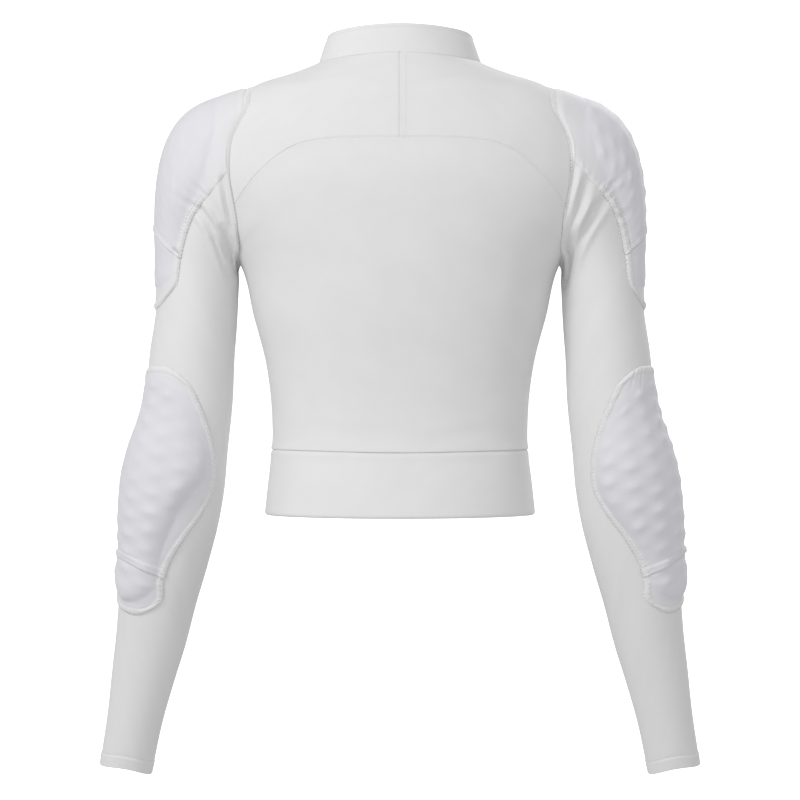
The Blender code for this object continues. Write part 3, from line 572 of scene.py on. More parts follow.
def shoulder_fill(points, normals):
    """Rounds the shoulder out where it meets the sleeve, as cloth over a seam allowance does.

    It is a bell over the distance from the armhole's top, as far as the surface looks up."""
    rise = SHOULDER_RISE * bell(np.abs(points[..., 0]), SHOULDER_WIDTH, middle=SHOULDER_AT)
    looks_up = np.clip(1.3 * normals[..., 2] - 0.1, 0.0, 1.0)
    return rise * looks_up * np.clip((points[..., 2] + 110.0) / 60.0, 0.0, 1.0)


def waist_wave(points):
    """The uneven swell of cloth along the waist seam: a sum of sines round the body."""
    turn = np.arctan2(points[..., 1], points[..., 0])
    return sum(height * np.sin(count * turn + start) for height, count, start in WAIST_WAVES)


def waist_lip(points, above):
    """The body's lower edge: it stands over the band as a soft lip, higher in some places."""
    lip = (0.55 + 0.5 * waist_wave(points)) * bell(np.maximum(above - 1.2, 0.0), 4.5)
    return lip - fold_roll(above, radius=0.5)


def back_relief(points, normals):
    """The back panel's relief: seams on all four sides, soft creases, and the swell at the waist."""
    rim = rims(points)
    seams = sum(seam_roll(rim[side]) for side in ("left", "right", "top"))
    return seams + waist_lip(points, rim["bottom"]) + crease_relief(points, normals, BACK_CREASES)


back_grid = mix(shares(length=300.0, step=2.6, stops=(0.5,)),
                shares(length=235.0, step=2.6, stops=(SIDE_SHARE,)),
                straight((0.0, WAIST_SEAM), (180.0, WAIST_SEAM)), whole_yoke_seam,
                back_edge, mirrored_line(back_edge))
back_panel = body_panel("cloth_back_panel", back_grid, back_relief)
sew_in(back_panel, "back_panel", "shell_cloth", flat=(0.40, 0.285), area=0.094)

# The yoke
# Two halves that meet at the centre back and run over the shoulders. The right half's edge is
# turned under and laid over the left half's, and two rows of stitches hold it down.
SHOULDER_SHARE = 4 / 12
LAP_WIDTH = 5.5
LAP_RISE = 0.35
UNDER_LAP_FALL = 0.75


def yoke_edge(t):
    """The outer edge of a yoke half, from the yoke seam up the armhole and over the shoulder."""
    return chained([(1.0 - SHOULDER_SHARE, lambda s: armhole(YOKE_START * (1.0 - s))),
                    (SHOULDER_SHARE, straight((0.0, SHOULDER_POINT), (0.0, NECK)))])(t)


YOKE_CREASES = (
    ((118.0, -36.0), (124.0, -62.0), (118.0, -92.0), 10.0, 0.35),
    ((60.0, -20.0), (84.0, -34.0), (104.0, -40.0), 12.0, 0.3),
)


def yoke_relief(lap):
    """The relief of a yoke half: its seams, and the overlap along the centre back."""
    def relief(points, normals):
        rim = rims(points)
        seams = sum(seam_roll(rim[side]) for side in ("left", "bottom", "top"))
        if lap:
            edge = LAP_RISE * plateau(rim["right"], LAP_WIDTH, softness=0.8) - fold_roll(rim["right"], FOLD)
        else:
            edge = -UNDER_LAP_FALL * bell(rim["right"], 1.1)
        return seams + edge + shoulder_fill(points, normals) + crease_relief(points, normals, YOKE_CREASES)
    return relief


yoke_grid = mix(shares(length=175.0, step=2.6),
                shares(length=150.0, step=2.4, stops=(1.0 - SHOULDER_SHARE,)),
                lambda t: along(yoke_knots, t), straight((0.0, NECK), (90.0, NECK)),
                yoke_edge, straight(yoke_knots[-1], (90.0, NECK)))
for side in ("left", "right"):
    half = body_panel("cloth_back_yoke_" + side, yoke_grid, yoke_relief(side == "right"),
                      mirrored=side == "right")
    sew_in(half, "back_yoke_" + side, "shell_cloth", flat=(0.21, 0.15), area=0.0173)

# The fronts
# Two plain fronts from the waist seam to the neck, sewn to the zip along the centre. The picture
# doesn't show them, so they have only the seams and the soft folds that such fronts must have.
CHAIN_HALF_WIDTH = 3.0
ZIP_GAP = 0.3
FRONT_SHOULDER_ROW = -34.0
FRONT_SIDE_SHARE = 7 / 23
FRONT_ARMHOLE_SHARE = 12 / 23
FRONT_TOP_SHARE = 4 / 23
FRONT_CREASES = (
    ((112.0, -40.0), (122.0, -80.0), (131.0, -118.0), 9.0, 0.8),
    ((128.0, -150.0), (118.0, -196.0), (121.0, -240.0), 11.0, 0.8),
    ((100.0, -328.0), (60.0, -338.0), (18.0, -335.0), 7.0, 0.5),
)


def zip_edge(levels):
    """The angle at which a front's edge stands beside the zip's chain, at each level."""
    depth = body_ring(levels)["front_depth"]
    return -90.0 + np.degrees(np.arcsin((CHAIN_HALF_WIDTH + ZIP_GAP) / depth))


def front_middle(t):
    """The edge of a front beside the zip, from the waist to the neck.

    The row that starts at the shoulder point ends a little lower here, so that no rows cross."""
    levels = np.interp(t, [0.0, 1.0 - FRONT_TOP_SHARE, 1.0], [WAIST_SEAM, FRONT_SHOULDER_ROW, NECK])
    return np.stack([zip_edge(levels), levels], axis=-1)


def front_relief(points, normals):
    """The relief of a front: three seams, the fold beside the zip, creases, and the waist's swell."""
    rim = rims(points)
    seams = sum(seam_roll(rim[side]) for side in ("left", "top")) + waist_lip(points, rim["bottom"])
    return (seams - fold_roll(rim["right"], radius=0.75) + shoulder_fill(points, normals)
            + crease_relief(points, normals, FRONT_CREASES, facing=-1.0))


front_edge = chained([(FRONT_SIDE_SHARE, left_side),
                      (FRONT_ARMHOLE_SHARE, lambda t: armhole(1.0 - t, front=True)),
                      (FRONT_TOP_SHARE, straight((0.0, SHOULDER_POINT), (0.0, NECK)))])
middle_low, middle_high = front_middle([0.0])[0], front_middle([1.0])[0]
front_grid = mix(shares(length=190.0, step=2.8),
                 shares(length=380.0, step=2.9, stops=(FRONT_SIDE_SHARE, 1.0 - FRONT_TOP_SHARE)),
                 straight((0.0, WAIST_SEAM), middle_low), straight((0.0, NECK), middle_high),
                 front_edge, front_middle)
for side in ("left", "right"):
    front = body_panel("cloth_front_" + side, front_grid, front_relief, mirrored=side == "right")
    # The grid runs from the side seam to the front, against the body's own turn, so that its
    # faces are turned round to point outwards.
    front.data.flip_normals()
    sew_in(front, "front_" + side, "shell_cloth", flat=(0.20, 0.36), area=0.057)

# The waistband
# A wide band of doubled cloth, folded at the hem and sewn to the body. It flares a little from the
# waist, and waves softly where it is stretched along the seam.
BAND_CLOTH = 2.5
BAND_RISE = 0.5
HEM = -412.0
HEM_NOSE = 3.2


def waistband_relief(points, normals):
    """The band's relief: a seam at the top, a round fold at the hem and at the zip, soft waves."""
    rim = rims(points)
    below = rim["top"]
    waves = 0.55 * waist_wave(points) * bell(below, 7.0, middle=7.0)
    ends = np.minimum(rim["left"], rim["right"])
    tuck = -1.1 * bell(below, 1.6) + 0.25 * bell(below, 2.4, middle=4.5)
    return BAND_RISE + tuck + waves - fold_roll(rim["bottom"], HEM_NOSE) * 0.7 - fold_roll(ends, FOLD)


band_levels = (HEM + (WAIST_SEAM - HEM) * shares(length=61.0, step=2.6))[:, None]
band_start = zip_edge(band_levels)
band_theta = band_start + (180.0 - 2.0 * band_start) * shares(length=650.0, step=3.0)[None, :]
band_grid = np.stack([band_theta, np.broadcast_to(band_levels, band_theta.shape)], axis=-1)
waistband = body_panel("cloth_waistband", band_grid, waistband_relief, thickness=BAND_CLOTH - BAND_RISE)
sew_in(waistband, "waistband", "shell_cloth", flat=(0.66, 0.062), area=0.0405)

# The collar
# A stand-up collar of doubled cloth, folded along its top edge and sewn round the neck. A row of
# stitches runs a few millimetres under the fold, where the cloth dips a little.
COLLAR_TOP = {"side": 28.0, "back": 34.4, "front": -5.0}
COLLAR_TOP_HALF_WIDTH = 66.0
COLLAR_TOP_BACK_DEPTH = 50.0
COLLAR_TOP_FRONT_DEPTH = 53.0
COLLAR_NOSE = 1.4
COLLAR_STITCH = 4.6


def collar_point(theta, share):
    """The collar's outer face: straight from the neck seam, at share 0, to the ellipse of its top."""
    theta, share = np.broadcast_arrays(np.asarray(theta, float), np.asarray(share, float))
    base = body_point(theta, np.full(theta.shape, NECK))
    cosine, sine = np.cos(np.radians(theta)), np.sin(np.radians(theta))
    depth = np.where(sine >= 0, COLLAR_TOP_BACK_DEPTH, COLLAR_TOP_FRONT_DEPTH)
    radius = ((cosine / COLLAR_TOP_HALF_WIDTH) ** 2 + (sine / depth) ** 2) ** -0.5
    z = (COLLAR_TOP["side"] + (COLLAR_TOP["back"] - COLLAR_TOP["side"]) * np.maximum(sine, 0.0)
         + (COLLAR_TOP["front"] - COLLAR_TOP["side"]) * np.maximum(-sine, 0.0) ** 2)
    edge = np.stack([radius * cosine, radius * sine, z], axis=-1)
    return base + (edge - base) * share[..., None]


collar_start = -90.0 + math.degrees(math.asin((CHAIN_HALF_WIDTH + ZIP_GAP) / COLLAR_TOP_FRONT_DEPTH))
collar_theta = collar_start + (180.0 - 2.0 * collar_start) * shares(length=400.0, step=2.4)[None, :]
collar_theta, collar_share = np.broadcast_arrays(collar_theta, shares(length=33.0, step=2.0)[:, None])
collar_surface = collar_point(collar_theta, collar_share)
collar_normal = normals_of(collar_point, collar_theta, collar_share)
collar_rim = rims(collar_surface)
below_top = collar_rim["top"]
collar_wave = 0.35 * np.sin(np.radians(collar_theta) * 7.0 + 0.8) * bell(below_top, 9.0, middle=12.0)
collar_ends = fold_roll(np.minimum(collar_rim["left"], collar_rim["right"]), FOLD)
collar_relief = (seam_roll(collar_rim["bottom"]) - fold_roll(below_top, COLLAR_NOSE) - collar_ends
                 - 0.3 * bell(below_top, 0.8, middle=COLLAR_STITCH) + collar_wave)
collar_inner = BAND_CLOTH - fold_roll(below_top, radius=1.1)
collar = shell("cloth_collar", collar_surface + collar_normal * collar_relief[..., None],
               collar_surface - collar_normal * collar_inner[..., None], shell_knit)
sew_in(collar, "collar", "shell_cloth", flat=(0.44, 0.052), area=0.0132)

# The sleeves
# One piece each, from the armhole to the folded hem of the cuff. The cloth is slack under the arm,
# where folds gather towards the armpit, and stretched smooth over the forearm.
SLEEVE_CLOTH = 1.4
STATION_LENGTH = 100.0
CUFF_HEM = 12.0
CUFF_RISE = 0.5
CUFF_DIP = 7.0
CUFF_FLARE = 90.0
ARMHOLE_TAPE = 5.0
ARMPIT_RADIUS = 38.0
ARM_COLUMNS = ("z", "x", "y", "half_width", "half_depth")
ARM_ROWS = (
    (-197.0, 184.5, -1.0, 36.5, 47.0),
    (-240.0, 188.0, 1.0, 38.0, 46.0),
    (-263.0, 190.6, 2.0, 38.9, 45.0),
    (-307.0, 193.8, 3.0, 40.2, 43.0),
    (-351.0, 199.3, 1.0, 41.1, 41.5),
    (-385.0, 203.5, -4.0, 42.0, 41.0),
    (-418.0, 208.7, -10.0, 41.0, 40.0),
    (-451.0, 214.8, -17.0, 38.0, 38.5),
    (-484.0, 223.2, -24.0, 36.4, 36.5),
    (-528.0, 231.6, -34.0, 33.0, 33.0),
    (-561.0, 239.0, -41.0, 29.9, 30.0),
    (-605.0, 248.2, -51.0, 26.2, 27.5),
    (-646.0, 256.2, -60.0, 25.0, 25.5),
)
CAP_HANDLES = {"top": (78.0, 130.0), "side": (30.0, 45.0), "bottom": (4.0, 5.0)}
CAP_LEAVES = {"top": (1.0, 0.0, -0.12), "side": (0.65, 0.0, -0.75), "bottom": (0.75, 0.0, -0.65)}
CAP_SPREAD = 0.05
CAP_GAP = 0.1


def arm_lengths():
    """How far down the arm each row of the arm table lies."""
    return travel(np.stack([column(ARM_ROWS, ARM_COLUMNS, name) for name in ("x", "y", "z")], axis=-1))


def arm_point(angle, down):
    """The arm's surface: an ellipse square to the arm's line, at a distance down it."""
    lengths = arm_lengths()

    def centre(at):
        return np.stack([through(lengths, column(ARM_ROWS, ARM_COLUMNS, name), at)
                         for name in ("x", "y", "z")], axis=-1)

    line = unit(centre(down + 2.0) - centre(down - 2.0))
    outward = unit(np.array([1.0, 0.0, 0.0]) - line * line[..., :1])
    back = np.cross(outward, line)
    width = through(lengths, column(ARM_ROWS, ARM_COLUMNS, "half_width"), down)
    depth = through(lengths, column(ARM_ROWS, ARM_COLUMNS, "half_depth"), down)
    turn = np.radians(angle)
    return (centre(down) + outward * (width * np.cos(turn))[..., None]
            + back * (depth * np.sin(turn))[..., None])


def cap_point(angle, share):
    """The sleeve cap: a cubic curve from the armhole seam, at share 0, to the arm's first ring."""
    turned = np.mod(angle, 360.0)
    behind = turned <= 180.0
    fraction = np.where(behind, turned, 360.0 - turned) / 180.0
    seam_pairs = np.where(behind[..., None], armhole(fraction), armhole(fraction, front=True))
    start = body_point(seam_pairs[..., 0], seam_pairs[..., 1])
    end = arm_point(angle, np.zeros_like(share))
    down_arm = unit(arm_point(angle, np.full_like(share, 4.0)) - end)
    cosine, sine = np.cos(np.radians(angle)), np.sin(np.radians(angle))
    weight = {"top": np.maximum(cosine, 0.0) ** 2, "bottom": np.maximum(-cosine, 0.0) ** 2}
    weight["side"] = 1.0 - weight["top"] - weight["bottom"]
    spread = (weight["side"] * sine * CAP_SPREAD)[..., None] * np.array([0.0, 1.0, 0.0])
    leave = unit(sum(weight[place][..., None] * np.array(CAP_LEAVES[place]) for place in weight) + spread)
    first = sum(weight[place] * CAP_HANDLES[place][0] for place in weight)[..., None]
    last = sum(weight[place] * CAP_HANDLES[place][1] for place in weight)[..., None]
    start = start + leave * CAP_GAP
    t = share[..., None]
    return (start * (1 - t) ** 3 + 3 * (start + leave * first) * t * (1 - t) ** 2
            + 3 * (end - down_arm * last) * t * t * (1 - t) + end * t ** 3)


def sleeve_point(angle, station):
    """The sleeve's outer face at an angle round it and a station down it.

    The angle is 0 outwards, 90 at the back and 180 at the armpit. The station runs 0 to 1 down the
    cap, then 1 more for each 100 mm of arm. The cuff is cut a little longer at its two sides."""
    angle, station = np.broadcast_arrays(np.asarray(angle, float), np.asarray(station, float))
    cap = cap_point(angle, np.clip(station, 0.0, 1.0))
    down = np.maximum(station - 1.0, 0.0) * STATION_LENGTH
    near_cuff = np.clip(1.0 - (arm_lengths()[-1] - down) / CUFF_FLARE, 0.0, 1.0)
    arm = arm_point(angle, down + CUFF_DIP * np.cos(np.radians(angle)) ** 2 * near_cuff ** 2)
    return np.where((station < 1.0)[..., None], cap, arm)


SLEEVE_END = 1.0 + arm_lengths()[-1] / STATION_LENGTH


def sleeve_normal(angle, station):
    """Outward normals of the sleeve, from steps that stay on the cap or on the arm."""
    angle, station = np.broadcast_arrays(np.asarray(angle, float), np.asarray(station, float))
    across = sleeve_point(angle + 0.5, station) - sleeve_point(angle - 0.5, station)
    low = np.maximum(station - 0.02, 0.0)
    high = np.minimum(station + 0.02, SLEEVE_END)
    down = sleeve_point(angle, high) - sleeve_point(angle, low)
    return unit(np.cross(down, across))


SLEEVE_CREASES = {
    "left": (
        ((166.0, -94.0), (161.0, -116.0), (154.0, -150.0), 3.0, 3.0),
        ((188.0, -128.0), (174.0, -142.0), (160.0, -176.0), 3.6, 3.8),
        ((176.0, -118.0), (164.0, -150.0), (154.0, -180.0), 3.8, 1.8),
        ((162.0, -150.0), (156.0, -170.0), (149.0, -190.0), 4.4, 5.0),
        ((172.0, -160.0), (164.0, -172.0), (156.0, -196.0), 3.2, 2.2),
        ((176.0, -206.0), (164.0, -226.0), (154.0, -250.0), 8.0, 0.7),
        ((178.0, -434.0), (186.0, -452.0), (190.0, -470.0), 7.0, 0.4),
    ),
    "right": (
        ((161.0, -88.0), (153.0, -122.0), (149.5, -164.0), 3.6, 3.4),
        ((173.0, -104.0), (154.0, -152.0), (148.5, -200.0), 4.2, 4.8),
        ((190.0, -120.0), (160.0, -156.0), (149.5, -206.0), 4.4, 4.6),
        ((160.0, -150.0), (154.0, -172.0), (150.0, -190.0), 3.4, 2.2),
        ((180.0, -214.0), (166.0, -232.0), (156.0, -262.0), 9.0, 0.6),
    ),
}
FRONT_SLEEVE_CREASES = (
    ((164.0, -84.0), (156.0, -116.0), (151.0, -150.0), 4.0, 2.4),
    ((182.0, -112.0), (164.0, -146.0), (151.0, -184.0), 4.4, 2.8),
    ((196.0, -150.0), (176.0, -168.0), (156.0, -192.0), 5.0, 1.8),
    ((232.0, -392.0), (206.0, -404.0), (178.0, -400.0), 5.0, 2.2),
    ((226.0, -418.0), (206.0, -424.0), (184.0, -416.0), 4.6, 1.8),
    ((222.0, -366.0), (204.0, -374.0), (176.0, -372.0), 5.5, 1.4),
)


def sleeve_folds(points, normals, side):
    """The creases of one sleeve, those seen from behind and those on its front."""
    return (crease_relief(points, normals, SLEEVE_CREASES[side])
            + crease_relief(points, normals, FRONT_SLEEVE_CREASES, facing=-1.0))


sleeve_angles = np.concatenate([np.arange(0.0, 84.0, 3.5), np.arange(84.0, 212.0, 1.7),
                                np.arange(212.0, 360.0, 3.5)])
cap_stations = np.concatenate([[0.0, 0.004, 0.009, 0.016, 0.025, 0.037, 0.052], np.linspace(0.07, 0.98, 58)])
hem_station = SLEEVE_END - CUFF_HEM / STATION_LENGTH
arm_stations = np.concatenate([np.linspace(1.0, 1.7, 44), np.linspace(1.73, hem_station - 0.02, 112)])
cuff_stations = hem_station + np.array([-0.010, -0.004, 0.0, 0.004, 0.010, 0.022, 0.045, 0.07, 0.09])
cuff_end = SLEEVE_END - np.array([0.018, 0.012, 0.007, 0.003, 0.0])
sleeve_station, sleeve_angle = np.meshgrid(
    np.concatenate([cap_stations, arm_stations, cuff_stations, cuff_end]), sleeve_angles, indexing="ij")
sleeve_surface = sleeve_point(sleeve_angle, sleeve_station)
sleeve_out = sleeve_normal(sleeve_angle, sleeve_station)
from_armhole = lengths_along(sleeve_surface, 0)
to_end = from_armhole[-1:] - from_armhole
from_inseam = np.abs(sleeve_angle - 180.0) * math.pi / 180.0 * ARMPIT_RADIUS
armhole_tape = 0.2 * plateau(from_armhole, ARMHOLE_TAPE, softness=0.5) - 0.15 * bell(from_armhole, SEAM_ROLL)
cuff_hem = (CUFF_RISE * plateau(to_end, CUFF_HEM, softness=0.25)
            - 0.35 * bell(to_end, 0.8, middle=CUFF_HEM + 0.6) - fold_roll(to_end, FOLD))
sleeve_seams = armhole_tape + cuff_hem - 0.5 * bell(from_inseam, 0.9)
for side in ("left", "right"):
    folds = sleeve_folds(sleeve_surface, sleeve_out, side) * np.clip(from_armhole / 3.0, 0.0, 1.0)
    folds += shoulder_fill(sleeve_surface, sleeve_out)
    outer = sleeve_surface + sleeve_out * (sleeve_seams + folds)[..., None]
    depth = SLEEVE_CLOTH - np.minimum(folds, 0.0) - fold_roll(to_end, radius=0.7)
    inner = sleeve_surface - sleeve_out * depth[..., None]
    sleeve = shell("cloth_sleeve_" + side, outer, inner, shell_knit, closed=True, mirrored=side == "right")
    sleeve.data.flip_normals()
    sew_in(sleeve, "sleeve_" + side, "shell_cloth", flat=(0.33, 0.64), area=0.145)

# The pockets' cloth
# Each shoulder and each elbow has a pocket of smoother stretch cloth. An upper panel ends in a
# folded hem, a lower panel starts under it, and both are sewn flat to the sleeve all round. The
# cloth is stretched like a tent from that seam to the edge of the soft insert, and lies on its bumps.
POCKET_CLOTH = 1.2
LAY = 0.25
SIDE_TURN = {"left": 0.0, "right": -11.0}
POCKETS = {
    "shoulder": {"middle": 4.0, "top": 0.03, "top_sag": 0.0, "band": 0.885, "band_sag": 0.03,
                 "bottom": 1.30, "bottom_lift": 0.22, "pad_edge": 2.2, "pad_rise": 12.2, "dome": 28.0,
                 "rise": ((0.16, 0.0), (0.27, 0.17), (0.38, 0.37), (0.49, 0.60), (0.60, 0.83), (0.71, 0.98),
                          (0.82, 0.99), (0.92, 0.86), (1.0, 0.68), (1.2, 0.34), (1.45, 0.14), (1.72, 0.05)),
                 "reach": ((0.03, 84.0), (0.30, 80.0), (0.55, 70.0), (0.75, 64.0), (0.90, 61.0),
                           (1.10, 58.0), (1.30, 46.0)),
                 "pad": ((0.16, 0.0), (0.22, 0.55), (0.32, 0.76), (0.50, 0.84), (0.75, 0.88), (1.0, 0.88),
                         (1.35, 0.82), (1.60, 0.50), (1.72, 0.0)),
                 "bump": {"left": 0.4, "right": 1.15}, "smooth_to": 7.0, "bump_size": (4.4, 5.0),
                 "sewn_from": 0.44, "rows": 76,
                 "cut": {"upper": {"flat": (0.23, 0.13), "area": 0.0280},
                         "lower": {"flat": (0.11, 0.055), "area": 0.0058}}},
    "elbow": {"middle": 42.0, "top": 1.82, "top_sag": 0.14, "band": 3.62, "band_sag": 0.08,
              "bottom": 4.10, "bottom_lift": 0.16, "pad_edge": 2.8, "pad_rise": 11.6, "dome": 17.0,
              "rise": ((0.06, 0.0), (0.16, 0.01), (0.25, 0.11), (0.34, 0.36), (0.43, 0.68), (0.53, 0.93),
                       (0.65, 1.01), (0.80, 0.97), (1.0, 0.82), (1.25, 0.72), (1.5, 0.66), (1.8, 0.52)),
              "reach": ((1.82, 38.0), (1.97, 53.0), (2.20, 73.0), (2.41, 89.0), (2.60, 98.0),
                        (2.83, 99.0), (3.05, 86.0), (3.28, 68.0), (3.54, 54.0), (3.72, 52.0),
                        (3.90, 56.0), (4.10, 40.0)),
              "pad": ((0.06, 0.0), (0.10, 0.55), (0.22, 0.76), (0.34, 0.84), (0.46, 0.80), (0.55, 0.68),
                      (0.66, 0.60), (0.85, 0.68), (1.0, 0.78), (1.30, 0.78), (1.52, 0.62), (1.68, 0.40),
                      (1.80, 0.0)),
              "bump": {"left": 1.3, "right": 1.75}, "smooth_to": -25.0, "bump_size": (6.0, 4.4),
              "sewn_from": 0.02, "rows": 96,
              "cut": {"upper": {"flat": (0.22, 0.14), "area": 0.0257},
                      "lower": {"flat": (0.085, 0.05), "area": 0.0037}}},
}
WIDER_PADS = {
    ("elbow", "right"): ((0.06, 0.0), (0.12, 0.60), (0.22, 0.84), (0.34, 0.90), (0.60, 0.89), (1.0, 0.86),
                         (1.30, 0.82), (1.52, 0.66), (1.68, 0.42), (1.80, 0.0)),
}
RIDGE_WIDTH = 5.6
RIDGE_RISE = 0.65
HEM_WIDTH = 6.6
HEM_RISE = 0.7
TUCK = 0.9
BUMP_ACROSS = 36.0
BUMP_DOWN = 17.2
FLAT_TOP = 0.36
FLAT_STRENGTH = 0.15
FOLDED = 9.0
LOWER_LENGTH = 48.0
LOWER_START = 1.008
PUCKER_ACROSS = 60.0
PUCKER_DOWN = 100.0
FOLD_REACH = 6.0
PUCKERS = {
    ("elbow", "right"): ((-0.15, 0.00), (0.14, 0.01), (0.40, 0.00), (0.66, 0.02)),
    ("shoulder", "left"): ((0.92, 0.60), (0.95, 0.42)),
    ("shoulder", "right"): ((0.94, 0.52), (0.93, 0.78)),
}

pocket_knit = knit("pocket knit", (0.765, 0.755, 0.80), roughness=0.66, sheen=0.30, pitch=0.7, depth=0.07,
                   sewn_colour=(0.80, 0.80, 0.805))


def pocket_shape(place, side):
    """A pocket's facts, with its own insert outline where one side's differs."""
    return {**POCKETS[place], "pad": WIDER_PADS.get((place, side), POCKETS[place]["pad"])}


def pocket_edges(shape, across):
    """The stations of the pocket's top edge, band and bottom edge, for across -1 to 1."""
    return (shape["top"] + shape["top_sag"] * across ** 4, shape["band"] + shape["band_sag"] * across ** 2,
            shape["bottom"] - shape["bottom_lift"] * across ** 4)


def pocket_place(shape, across, share):
    """Angle from the pocket's middle and station, for across -1 to 1 and share 0 to 2.

    share runs from the pocket's top edge at 0 to its band at 1 and on to its bottom edge at 2."""
    across, share = np.broadcast_arrays(np.asarray(across, float), np.asarray(share, float))
    top, band, bottom = pocket_edges(shape, across)
    upper = top + (band - top) * np.minimum(share, 1.0)
    station = upper + (bottom - band) * np.maximum(share - 1.0, 0.0)
    stations, reaches = zip(*shape["reach"])
    return across * through(stations, reaches, station), station


def flattened(shape):
    """Stations down a pocket, with the length of cloth down to each and its half width there."""
    stations = np.linspace(shape["top"], shape["bottom"], 60)
    middle = sleeve_point(shape["middle"], stations)
    downs = travel(middle)
    reach = through(*zip(*shape["reach"]), stations)
    ring = sleeve_point(shape["middle"] + reach[:, None] * np.linspace(-1.0, 1.0, 41), stations[:, None])
    return stations, downs, np.linalg.norm(np.diff(ring, axis=1), axis=-1).sum(axis=1) / 2


for shape in POCKETS.values():
    shape["flattened"] = flattened(shape)


def lower_of(first, second, softness):
    """The lower of two values, rounded where they cross: a soft minimum by the logarithm of powers."""
    return -softness * np.log(np.exp(-first / softness) + np.exp(-second / softness))


def pocket_distances(shape, across, share):
    """Where a point of the pocket lies on the flattened cloth, in millimetres.

    border and pad are its distances from the border and inwards from the insert's edge, taken
    across and down, of which the lower counts. pad_across is the insert's, across only. x and down
    are its place, and upper_length is how far down the band lies."""
    stations, downs, halves = shape["flattened"]
    station = pocket_place(shape, across, share)[1]
    reach = np.interp(station, stations, halves)
    top, band, bottom = (np.interp(edge, stations, downs) for edge in pocket_edges(shape, across))
    upper_length, lower_length = band - top, bottom - band
    down = np.interp(station, stations, downs) - top
    x = across * reach
    total = upper_length + lower_length
    side = (1.0 - np.abs(across)) * reach
    border = lower_of(side, lower_of(down, total - down, 2.0), 2.0)
    pad_shares, pad_widths = zip(*shape["pad"])
    pad_width = np.interp(share, pad_shares, pad_widths)
    first = pad_shares[0] * upper_length
    last = upper_length + (pad_shares[-1] - 1.0) * lower_length
    pad = lower_of((pad_width - np.abs(across)) * reach, lower_of(down - first, last - down, 2.5), 2.5)
    return {"border": np.maximum(border, 0.0), "pad": pad,
            "pad_across": (pad_width - np.abs(across)) * reach,
            "x": x, "down": down, "upper_length": upper_length}


def bump_field(x, down, size):
    """Staggered soft bumps: two rectangular lattices of bell shapes, one shifted by half of each.

    The size is each bell's reach, across and down."""
    total = np.zeros_like(x)
    for shift_x, shift_down in ((0.0, 0.0), (BUMP_ACROSS / 2, BUMP_DOWN / 2)):
        dx = np.mod(x + shift_x + BUMP_ACROSS / 2, BUMP_ACROSS) - BUMP_ACROSS / 2
        dd = np.mod(down + shift_down + BUMP_DOWN / 2, BUMP_DOWN) - BUMP_DOWN / 2
        total += bell(dx, size[0]) * bell(dd, size[1])
    uneven = 1.0 + 0.25 * np.sin(0.07 * x + 0.05 * down) + 0.2 * np.sin(0.11 * down - 0.06 * x + 1.0)
    return total * uneven


def pocket_height(shape, across, share):
    """How far the pocket's inner face stands off the sleeve, and the pattern of bumps over the insert.

    Over the insert it is the insert's thickness. Outside, it falls like a tent to the border, by the
    share border / (border + distance to the insert)."""
    at = pocket_distances(shape, across, share)
    inwards = np.clip(at["pad_across"] / shape["dome"], 0.0, 1.0)
    rise_shares, rises = zip(*shape["rise"])
    rise = np.maximum(through(rise_shares, rises, np.clip(share, rise_shares[0], rise_shares[-1])), 0.0)
    edge = LAY + (shape["pad_edge"] - LAY) * np.minimum(1.0, 0.4 + rise)
    over = edge + (shape["pad_rise"] - shape["pad_edge"]) * rise * inwards * (2.0 - inwards)
    outside = np.maximum(-at["pad"], 0.0)
    tent = LAY + (edge - LAY) * (at["border"] / np.maximum(at["border"] + outside, 1e-6)) ** 1.1
    lift = np.where(at["pad"] > 0.0, over, tent)
    bumps = bump_field(at["x"], at["down"], shape["bump_size"]) * np.clip((at["pad"] - 1.0) / 7.0, 0.0, 1.0)
    # The bumps are lower on the outer side of the arm, where the cloth is stretched hardest.
    bumps = bumps * (0.1 + 0.9 * np.clip((at["x"] - shape["smooth_to"]) / 15.0, 0.0, 1.0))
    return lift, bumps


def puckers(place, side, across, share, border):
    """Short soft folds that run in from the border, each at a place along it, and small waves between."""
    x = across * PUCKER_ACROSS
    down = share * PUCKER_DOWN
    wave = (np.sin(0.9 * down + 2.0 * np.sin(0.13 * down) + 0.1 * x)
            + 0.6 * np.sin(0.37 * down + 0.25 * x + 1.0))
    relief = 0.2 * wave * bell(border, 3.6, middle=5.0)
    for at_across, at_share in PUCKERS.get((place, side), ()):
        beside = x - at_across * PUCKER_ACROSS
        if at_share < 0.1:
            distance = np.abs(beside + 0.12 * down) / 2.2
            fade = 0.7 * bell(down, 8.0)
        else:
            distance = np.abs(down - at_share * PUCKER_DOWN + 0.5 * beside) / 2.4
            fade = bell(beside, 14.0)
        relief += (0.5 * bell(distance, 0.8, middle=1.8) - 0.9 * bell(distance, 1.0)) * fade
    return relief


